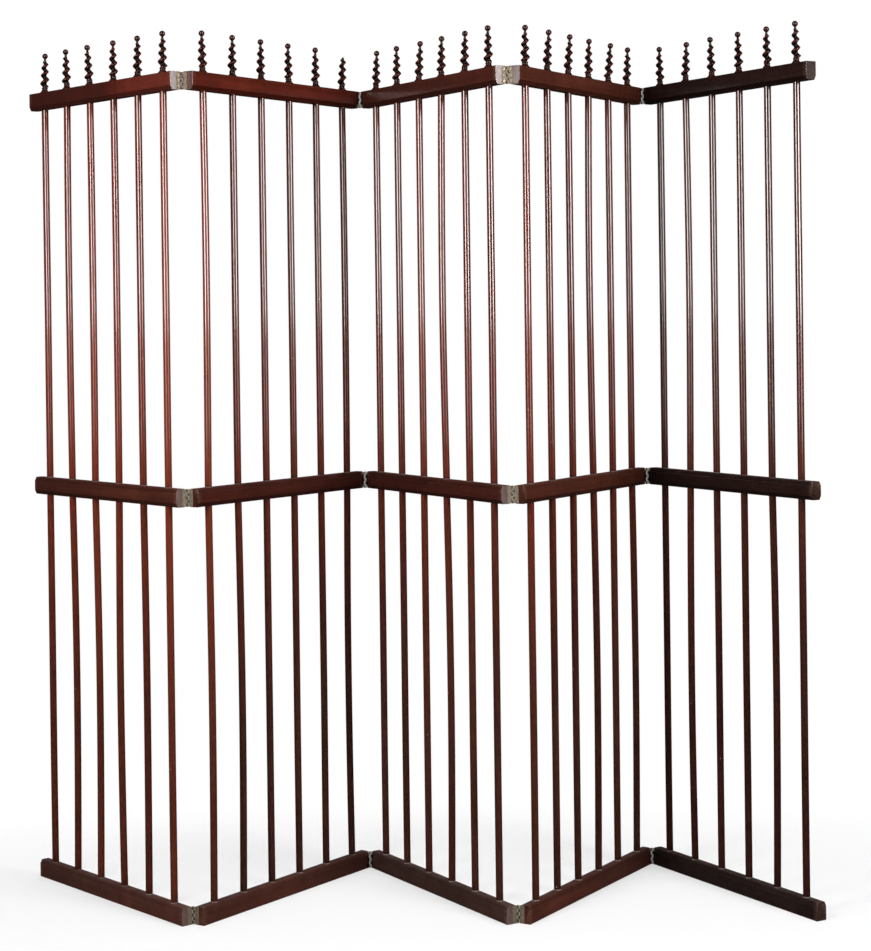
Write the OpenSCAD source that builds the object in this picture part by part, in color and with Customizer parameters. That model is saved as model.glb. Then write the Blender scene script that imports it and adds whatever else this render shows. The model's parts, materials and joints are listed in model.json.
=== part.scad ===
// Five-fold rod screen. Five equal panels stand in a zigzag, joined edge to edge by
// three brass butt hinges at each of four folds. A panel is three chamfered rails,
// six long round rods and a row of turned barley-twist finials.
//
// Lengths are millimetres. +Z is up, X runs across the front of the screen and +Y
// points away from the viewer. The origin is under the middle of the footprint.
// Inside a panel u runs along the rails from the left end, v runs from the front
// face to the back face, and z stays up.

/* [Panels] */
// Length of every rail
rail_l = 562; // [540:1:640]
// Height of every rail
rail_h = 38; // [36:0.5:46]
// Thickness of every rail, front to back
rail_t = 25.4; // [24:0.2:32]
// Height of the top of the top rail above the floor
panel_h = 1744; // [1500:1:1900]
// Height of the underside of the middle rail above the floor
middle_z = 854; // [700:1:950]
// Height of the steep chamfer on the long edges of a rail that the rods come out of
chamfer_h = 8.5; // [2:0.5:12]
// Depth of that chamfer into the thickness of the rail
chamfer_d = 4; // [1:0.5:6]
// Small bevel on the other long edges
ease = 1; // [0.4:0.1:2]
// Angle of each panel to the front, from the left panel to the right one
panel_turns = [49.4, 54.9, 59.0, 58.7, 59.7];

/* [Rods] */
// Diameter of a rod
rod_d = 15; // [12:0.5:16]
// Spacing of the rods along a rail, centre to centre
rod_pitch = 94; // [85:0.5:98]
// Number of rods in a panel
rod_count = 6; // [3:1:6]
// Depth of the socket that holds each end of a rod
rod_socket = 22; // [15:1:23]
// Gap for glue round a rod or a finial tenon, on the radius
glue_gap = 0.05; // [0.02:0.01:0.1]

/* [Finials] */
// Height of a finial above its rail
finial_h = 87; // [80:0.5:95]
// Diameter of the flared foot
foot_d = 20; // [17:0.5:21]
// Height of the flared foot
foot_h = 10.5; // [8:0.5:12]
// Diameter of the bead on top of the foot
bead_d = 14; // [12:0.2:15]
// Diameter of the twisted strand at the foot
strand_d = 15.2; // [11:0.2:16]
// Diameter of the twisted strand at the top
strand_top_d = 9.4; // [6:0.2:10]
// How far the strand swings out from the middle at the foot
swing = 3.3; // [2:0.1:4]
// How far the strand swings out from the middle at the top
swing_top = 2.2; // [1:0.1:3]
// Turns of the twist from foot to neck
twist_turns = 3.6; // [2:0.01:5]
// How much quicker the twist turns towards the top
quicken = 0.15; // [0:0.005:0.5]
// Diameter of the neck under the ball
neck_d = 4.8; // [3:0.2:5]
// Diameter of the ball
ball_d = 12.4; // [9:0.2:13]
// Diameter of the tenon under the foot
tenon_d = 8; // [6:0.5:10]
// Length of the tenon under the foot
tenon_l = 9; // [6:0.5:11]
// Panel whose finial has lost its ball, 0 for none
broken_panel = 2; // [0:1:5]
// Place of that finial along the panel
broken_place = 6; // [1:1:6]

/* [Hinges] */
// Thickness of a hinge leaf
leaf_t = 0.9; // [0.8:0.1:1]
// Width of the plate of a hinge leaf
leaf_w = 10.8; // [10:0.1:15]
// Height of a hinge leaf
leaf_h = 36; // [30:0.5:36]
// Gap between the ends of two panels that stand in line
end_gap = 1.6; // [1.6:0.1:2]
// Distance of the pin's axis from the face of the rails
pin_out = 2; // [2:0.1:3]
// Number of knuckles in a hinge
knuckles = 5; // [3:2:7]
// Gap between two neighbouring knuckles
knuckle_gap = 0.4; // [0.3:0.1:0.6]
// Diameter of a hinge pin
pin_d = 1.6; // [1.4:0.1:1.8]
// Running gap round the pin in the leaf that turns on it, on the radius
pin_play = 0.06; // [0.02:0.01:0.1]
// Number of screws in a leaf
screw_count = 3; // [2:1:3]
// Diameter of a screw's head
screw_head_d = 4.8; // [4:0.1:5]
// Diameter of a screw's shank
screw_d = 2.4; // [2.2:0.1:2.8]
// Length of a screw
screw_l = 16; // [10:1:18]

/* [Hidden] */
panel_count = 5;
hinge_count = panel_count - 1;
first_rod = (rail_l - (rod_count - 1) * rod_pitch) / 2;
top_z = panel_h - rail_h;
rail_heights = [0, middle_z, top_z];
chamfer = [chamfer_d, chamfer_h];
small_bevel = [ease, ease];
leaf_lift = (rail_h - leaf_h) / 2;
knuckle_r = end_gap / 2 + leaf_t;
knuckle_pitch = leaf_h / knuckles;
pin_head_h = 0.7;
pin_head_d = 2.8;
sink = (screw_head_d - screw_d) / 2;
slot_w = 0.7;
slot_depth = 0.6;
screw_tip_h = 3;
screw_row_v = pin_out + leaf_w / 2;
cut = 1;

// The twist runs from inside the top of the foot to just under the ball.
twist_z = foot_h - 0.5;
neck_h = 3.6;
twist_h = finial_h - ball_d - neck_h - twist_z;
ball_z = finial_h - ball_d / 2;
foot_lip = 1.4;
foot_steps = 7;
bead_h = 2.2;
waist_d = bead_d - 2.4;
twist_sides = 8;
twist_rings = 29;
// Share of the twist over which the strand leaves the middle, and comes back to it
run_in = 0.09;
// How far each finial is turned about its own axis, one row for each panel
finial_turns = [
    [350, 50, 60, 150, 290, 290],
    [185, 290, 325, 140, 65, 0],
    [190, 35, 315, 75, 245, 10],
    [150, 260, 320, 165, 90, 10],
    [170, 25, 285, 85, 190, 270],
];

mahogany = [0.29, 0.09, 0.06];
rod_red = [0.36, 0.12, 0.08];
old_brass = [0.58, 0.50, 0.34];

// ---- Where the panels stand -------------------------------------------------

function blend(low, high, share) = low + (high - low) * share;
function ramp(share) = let (s = max(0, min(1, share))) s * s * (3 - 2 * s);
function along(angle) = [cos(angle), sin(angle)];
function across(angle) = [-sin(angle), cos(angle)];

// Panels 1, 3 and 5 come towards the viewer from left to right, 2 and 4 go away.
function heading(i) = (i % 2 == 1 ? -1 : 1) * panel_turns[i - 1];

// Hinges 1 and 3 have their pins behind the rails, 2 and 4 in front of them.
function pin_v(k) = k % 2 == 1 ? rail_t + pin_out : -pin_out;

// Front left corner of panel i in plan, and the pin of hinge k at its right end,
// both counted from the corner of panel 1
function corner(i) = i == 1 ? [0, 0]
    : pin_at(i - 1) + along(heading(i)) * end_gap / 2 - across(heading(i)) * pin_v(i - 1);
function pin_at(k) =
    corner(k) + along(heading(k)) * (rail_l + end_gap / 2) + across(heading(k)) * pin_v(k);

footprint = [for (i = [1:panel_count], u = [0, rail_l], v = [0, rail_t])
    corner(i) + along(heading(i)) * u + across(heading(i)) * v];
footprint_x = [for (p = footprint) p.x];
footprint_y = [for (p = footprint) p.y];
middle = [(min(footprint_x) + max(footprint_x)) / 2, (min(footprint_y) + max(footprint_y)) / 2];

// Puts children, drawn in u, v and z, into panel i.
module in_panel(i) {
    place = corner(i) - middle;
    translate([place.x, place.y, 0]) rotate(heading(i)) children();
}

// Puts children at hinge k on panel i: the pin's axis is at the origin, +X goes into
// the end of the rail and +Y crosses its thickness.
module at_hinge(i, k) {
    at_right_end = k == i;
    in_panel(i)
        translate([at_right_end ? rail_l + end_gap / 2 : -end_gap / 2, pin_v(k), 0])
        mirror([at_right_end ? 1 : 0, 0, 0])
        mirror([0, k % 2, 0])
        children();
}

// Repeats children at the height of each rail, lifted to the foot of the leaf.
module at_each_rail() {
    for (z = rail_heights) translate([0, 0, z + leaf_lift]) children();
}

// Repeats children at each rod of a panel.
module at_each_rod() {
    for (j = [0:rod_count - 1]) translate([first_rod + j * rod_pitch, rail_t / 2, 0]) children();
}

// Repeats children at each screw of a leaf, pointing into the rail.
module at_each_screw() {
    for (j = [0:screw_count - 1])
        translate([end_gap / 2, screw_row_v, leaf_h * (j + 0.5) / screw_count])
        rotate([0, 90, 0])
        rotate(25 + 50 * j)
        children();
}

// ---- Rails ------------------------------------------------------------------

// Bar of full length with bevels on its lower and upper long edges, each given as its
// depth into the thickness and its height.
module bar(low, high) {
    rotate([90, 0, 90]) linear_extrude(rail_l) polygon([
        [low.x, 0], [rail_t - low.x, 0], [rail_t, low.y], [rail_t, rail_h - high.y],
        [rail_t - high.x, rail_h], [high.x, rail_h], [0, rail_h - high.y], [0, low.y]
    ]);
}

// Recess and screw holes for the hinge leaf at hinge k on panel i, at height z.
module leaf_seat(i, k) {
    at_hinge(i, k) translate([0, 0, leaf_lift]) {
        translate([end_gap / 2 - cut, pin_out - cut, 0]) cube([leaf_t + cut, leaf_w + cut, leaf_h]);
        at_each_screw() {
            cylinder(r = screw_d / 2 + glue_gap, h = screw_l + cut, $fn = 32);
            cylinder(r1 = screw_head_d / 2 + 0.1, r2 = screw_d / 2 + 0.1, h = sink, $fn = 32);
        }
    }
}

// Rail of panel i with its rod holes, from hole_z up over hole_h, and its hinge seats.
module rail(i, z, low, high, hole_z, hole_h) {
    difference() {
        in_panel(i) translate([0, 0, z]) difference() {
            bar(low, high);
            at_each_rod() translate([0, 0, hole_z])
                cylinder(r = rod_d / 2 + glue_gap, h = hole_h, $fn = 64);
            if (z == top_z) at_each_rod() translate([0, 0, rail_h - tenon_l - cut / 2])
                cylinder(r = tenon_d / 2 + glue_gap, h = tenon_l + cut, $fn = 48);
        }
        for (k = [i - 1, i]) if (k >= 1 && k <= hinge_count) translate([0, 0, z]) leaf_seat(i, k);
    }
}

module top_rail(i) {
    color(mahogany) rail(i, top_z, chamfer, small_bevel, -cut, rod_socket + cut);
}

module middle_rail(i) {
    color(mahogany) rail(i, middle_z, chamfer, chamfer, -cut, rail_h + 2 * cut);
}

module bottom_rail(i) {
    color(mahogany) rail(i, 0, small_bevel, chamfer, rail_h - rod_socket, rod_socket + cut);
}

// ---- Rods and finials -------------------------------------------------------

// Rods run from the bottom rail, through the middle rail, into the top rail.
module rods(i) {
    color(rod_red) in_panel(i) at_each_rod() translate([0, 0, rail_h - rod_socket])
        cylinder(d = rod_d, h = top_z - rail_h + 2 * rod_socket, $fn = 64);
}

// Flared foot with a lip, standing on z = 0, a bead on top of it and the tenon under it.
module foot() {
    flare_h = foot_h - foot_lip - bead_h;
    rotate_extrude($fn = 64) polygon([
        [0, -tenon_l], [tenon_d / 2 - 0.5, -tenon_l], [tenon_d / 2, 0.5 - tenon_l],
        [tenon_d / 2, 0], [foot_d / 2 - 0.6, 0], [foot_d / 2, 0.5],
        for (n = [0:foot_steps]) let (s = n / foot_steps)
            [blend(foot_d / 2, waist_d / 2, 1 - pow(1 - s, 2)), foot_lip + flare_h * s],
        for (n = [1:foot_steps - 1]) let (a = 180 * n / foot_steps)
            [blend(waist_d, bead_d, sin(a)) / 2, foot_h - bead_h * (1 + cos(a)) / 2],
        [waist_d / 2, foot_h], [0, foot_h]
    ]);
}

// One round section of the twisted strand, at share s of the way up: the section
// keeps its own direction while its middle winds round the axis.
function strand_ring(s) =
    let (
        turn = 360 * twist_turns * s * (1 + quicken * s) / (1 + quicken),
        leave = ramp(s / run_in),
        arrive = ramp((1 - s) / run_in),
        off = blend(swing, swing_top, s) * leave * arrive,
        full = blend(strand_d, strand_top_d, s) / 2,
        r = blend(neck_d / 2 + 0.6, blend(waist_d / 2 - 0.3, full, leave), arrive)
    )
    [for (n = [0:twist_sides - 1]) let (a = 360 * n / twist_sides)
        [off * cos(turn) + r * cos(a), off * sin(turn) + r * sin(a), twist_z + twist_h * s]];

// Single-start twist as one closed skin of rings.
module twist() {
    rings = [for (n = [0:twist_rings - 1]) strand_ring(n / (twist_rings - 1))];
    last = (twist_rings - 1) * twist_sides;
    polyhedron(
        points = [for (ring = rings, p = ring) p],
        faces = [
            [for (n = [0:twist_sides - 1]) n],
            [for (n = [0:twist_sides - 1]) last + twist_sides - 1 - n],
            for (row = [0:twist_rings - 2], n = [0:twist_sides - 1])
                let (a = row * twist_sides + n, b = row * twist_sides + (n + 1) % twist_sides)
                [a, a + twist_sides, b + twist_sides, b]
        ]
    );
}

// Finial on its foot. A broken one ends in a stub of its neck, snapped on the slant.
module finial(broken) {
    foot();
    twist();
    neck_z = twist_z + twist_h - 2;
    if (broken) difference() {
        translate([0, 0, neck_z]) cylinder(d = neck_d, h = neck_h + 1.5, $fn = 32);
        translate([0, 0, neck_z + neck_h]) rotate([0, 38, 0])
            translate([-neck_d, -neck_d, 0]) cube([2 * neck_d, 2 * neck_d, 2 * neck_d]);
    } else {
        translate([0, 0, neck_z]) cylinder(d = neck_d, h = ball_z - neck_z, $fn = 32);
        translate([0, 0, ball_z]) sphere(d = ball_d, $fn = 48);
    }
}

module finials(i) {
    color(mahogany) in_panel(i) for (j = [1:rod_count])
        translate([first_rod + (j - 1) * rod_pitch, rail_t / 2, panel_h])
        rotate(finial_turns[i - 1][j - 1] - heading(i))
        finial(i == broken_panel && j == broken_place);
}

// ---- Hinges -----------------------------------------------------------------

// Solid of knuckle n with the tab that joins it to its plate.
module knuckle(n) {
    low = n == 0 ? 0 : knuckle_gap / 2;
    high = n == knuckles - 1 ? 0 : knuckle_gap / 2;
    h = knuckle_pitch - low - high;
    translate([0, 0, n * knuckle_pitch + low]) {
        cylinder(r = knuckle_r, h = h, $fn = 48);
        translate([end_gap / 2, 0, 0]) cube([leaf_t, pin_out + cut, h]);
    }
}

// Leaf with every second knuckle from the first one given, bored for its pin.
module leaf(first, bore_r) {
    difference() {
        union() {
            translate([end_gap / 2, pin_out, 0]) cube([leaf_t, leaf_w, leaf_h]);
            for (n = [first:2:knuckles - 1]) knuckle(n);
        }
        translate([0, 0, -cut]) cylinder(r = bore_r, h = leaf_h + 2 * cut, $fn = 48);
        at_each_screw() {
            cylinder(r1 = screw_head_d / 2, r2 = screw_d / 2, h = sink, $fn = 32);
            cylinder(d = screw_d, h = 2 * leaf_t, $fn = 32);
        }
    }
}

// The left leaves grip their pins, and the right leaves turn on them.
module left_leaves(k) {
    color(old_brass) at_hinge(k, k) at_each_rail() leaf(0, pin_d / 2);
}

module right_leaves(k) {
    color(old_brass) at_hinge(k + 1, k) at_each_rail() leaf(1, pin_d / 2 + pin_play);
}

module pin_head() {
    cylinder(d1 = pin_head_d, d2 = pin_head_d - 1, h = pin_head_h, $fn = 48);
}

// Pin with a low head at each end.
module pins(k) {
    color(old_brass) at_hinge(k, k) at_each_rail() {
        cylinder(d = pin_d, h = leaf_h, $fn = 48);
        translate([0, 0, leaf_h]) pin_head();
        mirror([0, 0, 1]) pin_head();
    }
}

// Countersunk screw along +Z with its slotted head flush at z = 0.
module screw() {
    difference() {
        rotate_extrude($fn = 32) polygon([
            [0, 0], [screw_head_d / 2, 0], [screw_d / 2, sink],
            [screw_d / 2, screw_l - screw_tip_h], [0, screw_l]
        ]);
        translate([-screw_head_d, -slot_w / 2, -cut])
            cube([2 * screw_head_d, slot_w, cut + slot_depth]);
    }
}

module hinge_screws(i) {
    color(old_brass) for (k = [i - 1, i]) if (k >= 1 && k <= hinge_count)
        at_hinge(i, k) at_each_rail() at_each_screw() screw();
}

// ---- Nodes ------------------------------------------------------------------

for (i = [1:panel_count]) {
    top_rail(i);
    middle_rail(i);
    bottom_rail(i);
    rods(i);
    finials(i);
    hinge_screws(i);
}
for (k = [1:hinge_count]) {
    left_leaves(k);
    right_leaves(k);
    pins(k);
}
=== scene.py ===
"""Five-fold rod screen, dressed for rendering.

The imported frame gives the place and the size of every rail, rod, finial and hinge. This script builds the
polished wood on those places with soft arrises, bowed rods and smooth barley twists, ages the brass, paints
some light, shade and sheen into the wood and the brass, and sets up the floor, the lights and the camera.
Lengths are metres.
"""
from __future__ import annotations

import json
import logging
import math
from collections.abc import Callable, Iterable, Sequence
from dataclasses import dataclass, field
from enum import Enum

import bmesh
import bpy
from mathutils import Matrix, Vector, noise

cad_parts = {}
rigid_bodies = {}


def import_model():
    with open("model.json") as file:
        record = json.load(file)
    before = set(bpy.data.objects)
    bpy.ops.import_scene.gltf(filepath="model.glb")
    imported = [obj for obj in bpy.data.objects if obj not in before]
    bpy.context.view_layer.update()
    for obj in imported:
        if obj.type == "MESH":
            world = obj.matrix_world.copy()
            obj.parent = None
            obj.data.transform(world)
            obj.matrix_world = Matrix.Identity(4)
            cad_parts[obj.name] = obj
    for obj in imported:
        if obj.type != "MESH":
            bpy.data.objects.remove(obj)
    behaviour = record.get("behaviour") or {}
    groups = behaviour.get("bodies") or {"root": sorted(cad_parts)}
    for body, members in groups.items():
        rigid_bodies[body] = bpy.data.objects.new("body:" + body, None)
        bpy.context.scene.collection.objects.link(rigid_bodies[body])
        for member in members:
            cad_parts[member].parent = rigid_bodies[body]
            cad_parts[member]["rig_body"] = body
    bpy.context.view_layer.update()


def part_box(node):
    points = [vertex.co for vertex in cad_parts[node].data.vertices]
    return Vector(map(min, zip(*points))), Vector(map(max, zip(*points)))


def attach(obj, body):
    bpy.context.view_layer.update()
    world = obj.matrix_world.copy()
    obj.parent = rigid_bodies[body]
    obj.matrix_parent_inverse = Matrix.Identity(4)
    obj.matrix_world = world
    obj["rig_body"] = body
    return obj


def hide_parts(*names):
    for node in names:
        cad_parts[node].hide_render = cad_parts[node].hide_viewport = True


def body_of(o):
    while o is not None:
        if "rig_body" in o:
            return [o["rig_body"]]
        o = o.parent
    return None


LOG = logging.getLogger("rod_screen")
MM = 0.001
RAIL_LENGTH = 562 * MM
RAIL_HEIGHT = 38 * MM
RAIL_THICK = 25.4 * MM
ROD_SOCKET = 22 * MM
PANEL_COUNT = 5
FOLD_COUNT = 4

Triple = tuple[float, float, float]
Colour = Triple
Row = Triple
Point = tuple[float, float]
Span = tuple[float, float]
Piece = bpy.types.Object
Ring = list[bmesh.types.BMVert]
Socket = bpy.types.NodeSocket
Inputs = dict[str | int, object]
Lathe = Callable[[Sequence[Row]], None]
Put = Callable[[float, float, float], Vector]


# ---- Small helpers for numbers ------------------------------------------------------------------------


def blend(low: float, high: float, share: float) -> float:
    """Value between low and high at a share from 0 to 1."""
    return low + (high - low) * share


def ramp(share: float) -> float:
    """Share from 0 to 1 that starts and ends gently, and stays 0 or 1 outside."""
    s = min(max(share, 0.0), 1.0)
    return s * s * (3 - 2 * s)


def srgb(red: int, green: int, blue: int) -> Colour:
    """Linear colour of a screen colour.

    Args:
        red: Red from 0 to 255.
        green: Green from 0 to 255.
        blue: Blue from 0 to 255.

    Returns:
        The three linear values from 0 to 1.
    """

    def linear(level: int) -> float:
        """Linear value of one screen level."""
        c = level / 255
        return c / 12.92 if c <= 0.04045 else ((c + 0.055) / 1.055) ** 2.4

    return linear(red), linear(green), linear(blue)


def scaled(colour: Colour, by: float) -> Colour:
    """Colour made darker or lighter by one factor."""
    return tuple(min(c * by, 1.0) for c in colour)


def grey(level: float) -> Colour:
    """Grey of one linear level."""
    return level, level, level


def round_turn(sides: int) -> list[float]:
    """Angles evenly spaced round a full turn, in radians."""
    return [2 * math.pi * k / sides for k in range(sides)]


# ---- Shader maths -------------------------------------------------------------------------------------


class Value:
    """A number that varies over a surface: a socket whose Python maths adds Math nodes."""

    def __init__(self, board: Board, socket: Socket) -> None:
        """Wraps a socket.

        Args:
            board: The node board that holds the socket.
            socket: An output socket that gives one number.
        """
        self.board = board
        self.socket = socket

    def _math(self, operation: str, *others: Value | float, clamp: bool = False) -> Value:
        """Adds one Math node on this value.

        Args:
            operation: Blender's name of the operation.
            others: The further inputs.
            clamp: Whether the result stays from 0 to 1.

        Returns:
            The node's result.
        """
        inputs = {n: v for n, v in enumerate((self, *others))}
        return self.board.value("ShaderNodeMath", {"operation": operation, "use_clamp": clamp}, inputs)

    def __add__(self, other: Value | float) -> Value:
        """Sum."""
        return self._math("ADD", other)

    def __sub__(self, other: Value | float) -> Value:
        """Difference."""
        return self._math("SUBTRACT", other)

    def __rsub__(self, other: float) -> Value:
        """Difference from a number."""
        return self.board.number("SUBTRACT", other, self)

    def __mul__(self, other: Value | float) -> Value:
        """Product."""
        return self._math("MULTIPLY", other)

    def __truediv__(self, other: Value | float) -> Value:
        """Quotient."""
        return self._math("DIVIDE", other)

    def __pow__(self, other: float) -> Value:
        """Power."""
        return self._math("POWER", other)

    def __abs__(self) -> Value:
        """Size without its sign."""
        return self._math("ABSOLUTE")

    __radd__ = __add__
    __rmul__ = __mul__

    def larger(self, other: Value | float) -> Value:
        """The larger of two values."""
        return self._math("MAXIMUM", other)

    def clamped(self) -> Value:
        """The value held between 0 and 1."""
        return self._math("ADD", 0.0, clamp=True)

    def rise(self, start: float, end: float) -> Value:
        """Smooth mask that goes from 0 at start to 1 at end.

        Args:
            start: The value at which the mask is 0.
            end: The value at which the mask is 1; it may be the lower one.

        Returns:
            The mask.
        """
        settings = {"interpolation_type": "SMOOTHSTEP", "clamp": True}
        flip = end < start
        low, high = (end, start) if flip else (start, end)
        inputs = {"Value": self, "From Min": low, "From Max": high}
        mask = self.board.value("ShaderNodeMapRange", settings, inputs)
        return 1 - mask if flip else mask


class Board:
    """The node board of one material or of the world."""

    # Numbers of a Mix node's sockets for colours, whose names it shares with those for numbers.
    MIX_SHARE, MIX_FIRST, MIX_SECOND, MIX_RESULT = 0, 6, 7, 2

    def __init__(self, tree: bpy.types.NodeTree) -> None:
        """Clears the board.

        Args:
            tree: The node tree of a material or world.
        """
        self.tree = tree
        tree.nodes.clear()

    def node(self, kind: str, settings: dict[str, object], inputs: Inputs) -> bpy.types.Node:
        """Adds any node.

        Args:
            kind: Blender's type name of the node.
            settings: Its properties, which are set first.
            inputs: Its sockets by name or number, with a Value, an output socket or a constant for each.

        Returns:
            The new node.
        """
        made = self.tree.nodes.new(kind)
        for name, setting in settings.items():
            setattr(made, name, setting)
        for key, given in inputs.items():
            socket = made.inputs[key]
            if isinstance(given, Value):
                self.tree.links.new(given.socket, socket)
            elif isinstance(given, Socket):
                self.tree.links.new(given, socket)
            elif isinstance(given, tuple) and socket.type == "RGBA" and len(given) == 3:
                socket.default_value = (*given, 1.0)
            else:
                socket.default_value = given
        return made

    def value(self, kind: str, settings: dict[str, object], inputs: Inputs) -> Value:
        """Adds a node and wraps its first output as a number."""
        return Value(self, self.node(kind, settings, inputs).outputs[0])

    def number(self, operation: str, first: float, second: Value) -> Value:
        """Adds a Math node whose first input is a plain number."""
        return self.value("ShaderNodeMath", {"operation": operation}, {0: first, 1: second})

    def output(self, kind: str, name: str) -> Socket:
        """Adds an input node and gives one of its outputs."""
        return self.node(kind, {}, {}).outputs[name]

    def place(self) -> Socket:
        """Place on the piece, in the piece's own axes."""
        return self.output("ShaderNodeTexCoord", "Object")

    def attribute(self, name: str) -> Value:
        """A number that the mesh carries at each vertex."""
        made = self.node("ShaderNodeAttribute", {"attribute_name": name}, {})
        return Value(self, made.outputs["Fac"])

    def parts(self, vector: Socket) -> tuple[Value, Value, Value]:
        """The three numbers of a vector."""
        made = self.node("ShaderNodeSeparateXYZ", {}, {0: vector})
        return tuple(Value(self, out) for out in made.outputs)

    def stretched(self, vector: Socket, by: Triple, shift: Triple) -> Socket:
        """Scales a vector along its axes, then moves it.

        Args:
            vector: The vector's socket.
            by: Factor along each axis.
            shift: What is added on each axis.

        Returns:
            The new vector's socket.
        """
        inputs = {0: vector, 1: by, 2: shift}
        return self.node("ShaderNodeVectorMath", {"operation": "MULTIPLY_ADD"}, inputs).outputs[0]

    def noise(self, vector: Socket, scale: float, detail: float = 3.0,
              rough: float = 0.5, warp: float = 0.0) -> Value:
        """Soft noise around 0.5.

        Args:
            vector: Where it is read.
            scale: How many features to a unit of the vector.
            detail: How many finer layers it has.
            rough: How strong the finer layers are.
            warp: How far it swirls.

        Returns:
            The noise value.
        """
        inputs = {"Vector": vector, "Scale": scale, "Detail": detail, "Roughness": rough, "Distortion": warp}
        return self.value("ShaderNodeTexNoise", {"noise_dimensions": "3D"}, inputs)

    def cells(self, vector: Socket, scale: float) -> Value:
        """Distance to the nearest of many scattered points."""
        return self.value("ShaderNodeTexVoronoi", {"feature": "F1"}, {"Vector": vector, "Scale": scale})

    def mix(self, share: Value | float, first: Colour | Socket, second: Colour | Socket) -> Socket:
        """Mixes two colours.

        Args:
            share: How much of the second colour, from 0 to 1.
            first: A colour or a socket.
            second: A colour or a socket.

        Returns:
            The mixed colour's socket.
        """
        inputs = {self.MIX_SHARE: share, self.MIX_FIRST: first, self.MIX_SECOND: second}
        return self.node("ShaderNodeMix", {"data_type": "RGBA"}, inputs).outputs[self.MIX_RESULT]

    def bump(self, height: Value, depth: float, strength: float, under: Socket | None = None) -> Socket:
        """Adds a Bump node.

        Args:
            height: Height from 0 to 1.
            depth: Real height of a step from 0 to 1.
            strength: Share of the bump that shows.
            under: Normal of a bump below this one.

        Returns:
            The normal's socket.
        """
        inputs: Inputs = {"Height": height, "Distance": depth, "Strength": strength}
        if under is not None:
            inputs["Normal"] = under
        return self.node("ShaderNodeBump", {}, inputs).outputs[0]

    def surface(self, inputs: Inputs) -> None:
        """Adds the main shader and joins it to the material's output."""
        shader = self.node("ShaderNodeBsdfPrincipled", {}, inputs)
        self.node("ShaderNodeOutputMaterial", {}, {"Surface": shader.outputs[0]})


def new_board(name: str) -> tuple[bpy.types.Material, Board]:
    """A fresh material and its cleared board."""
    material = bpy.data.materials.new(name)
    material.use_nodes = True
    return material, Board(material.node_tree)


# ---- Finishes -----------------------------------------------------------------------------------------


class Grain(Enum):
    """Which way the wood's grain runs: streak scale along the piece's own axes."""

    ALONG_RAIL = (1.6, 70.0, 70.0)
    ALONG_ROD = (80.0, 80.0, 1.3)
    TURNED = (60.0, 60.0, 9.0)


class Residue(Enum):
    """What lies on the wood or shows where the polish has gone, and the pale greys of painted sheen, as a
    screen colour.
    """

    CHIP = (196, 172, 156)
    # Settled dust on upward faces, which also stands for a painted sheen there.
    SETTLED = (112, 96, 92)
    # Painted sheen on the end wood.
    BLOOM = (172, 160, 158)
    FILM = (140, 128, 124)
    DUST = (186, 170, 162)

    def colour(self) -> Colour:
        """Colour of the residue."""
        return srgb(*self.value)


class Mark(Enum):
    """A kind of mark on the wood: share of its colour that shows, added roughness, share of polish lost."""

    PORES = (0.55, 0.12, 0.0)
    # Rubbed polish; on a finial's ridges its colour is also a painted highlight.
    RUBBED = (0.75, 0.12, 0.5)
    DIRT = (1.0, 0.30, 0.7)
    # Upward faces, where settled dust dulls the polish; the colour of the same name adds painted sheen.
    SETTLED = (1.0, 0.2, 0.8)
    DUST = (0.85, 0.5, 0.9)

    def __init__(self, shows: float, roughens: float, dulls: float) -> None:
        """Names the three numbers.

        Args:
            shows: Share of the mark's colour that shows.
            roughens: What it adds to the roughness.
            dulls: Share of the polish that it takes away.
        """
        self.shows = shows
        self.roughens = roughens
        self.dulls = dulls


class WoodMaps:
    """Numbers over a piece of wood that its colour, its roughness and its polish all read."""

    SEED_STEPS = (3.17, 1.31, 2.23)
    PORE_EDGE = (0.64, 0.75)
    UPWARD = (0.75, 0.97)

    def __init__(self, board: Board, grain: Grain, seed: float) -> None:
        """Adds the noises, the mesh's own numbers and the places.

        Args:
            board: The node board that they go on.
            grain: Which way the grain runs.
            seed: Moves the patterns so that no two pieces match.
        """
        at = board.place()
        shift = tuple(seed * step for step in self.SEED_STEPS)
        along = board.stretched(at, grain.value, shift)
        facing = board.parts(board.output("ShaderNodeTexCoord", "Normal"))
        self.near: Socket = board.stretched(at, (1.0, 1.0, 1.0), shift)
        self.streaks: Value = board.noise(along, 1.0, 5.0, 0.6, 0.35)
        self.fine: Value = board.noise(along, 5.0, 3.0, 0.7)
        self.mottle: Value = board.noise(self.near, 22.0, 4.0, 0.6, 0.6)
        self.cloud: Value = board.noise(self.near, 5.0, 2.0)
        self.pores: Value = board.noise(along, 11.0, 2.0, 0.5).rise(*self.PORE_EDGE)
        self.across, _, self.height = board.parts(at)
        self.sideways, self.faces_up = facing[0], facing[2].rise(*self.UPWARD)
        self.tone, self.wear, self.grime, self.dust = (
            board.attribute(name) for name in ("tone", "wear", "grime", "dust"))


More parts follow.
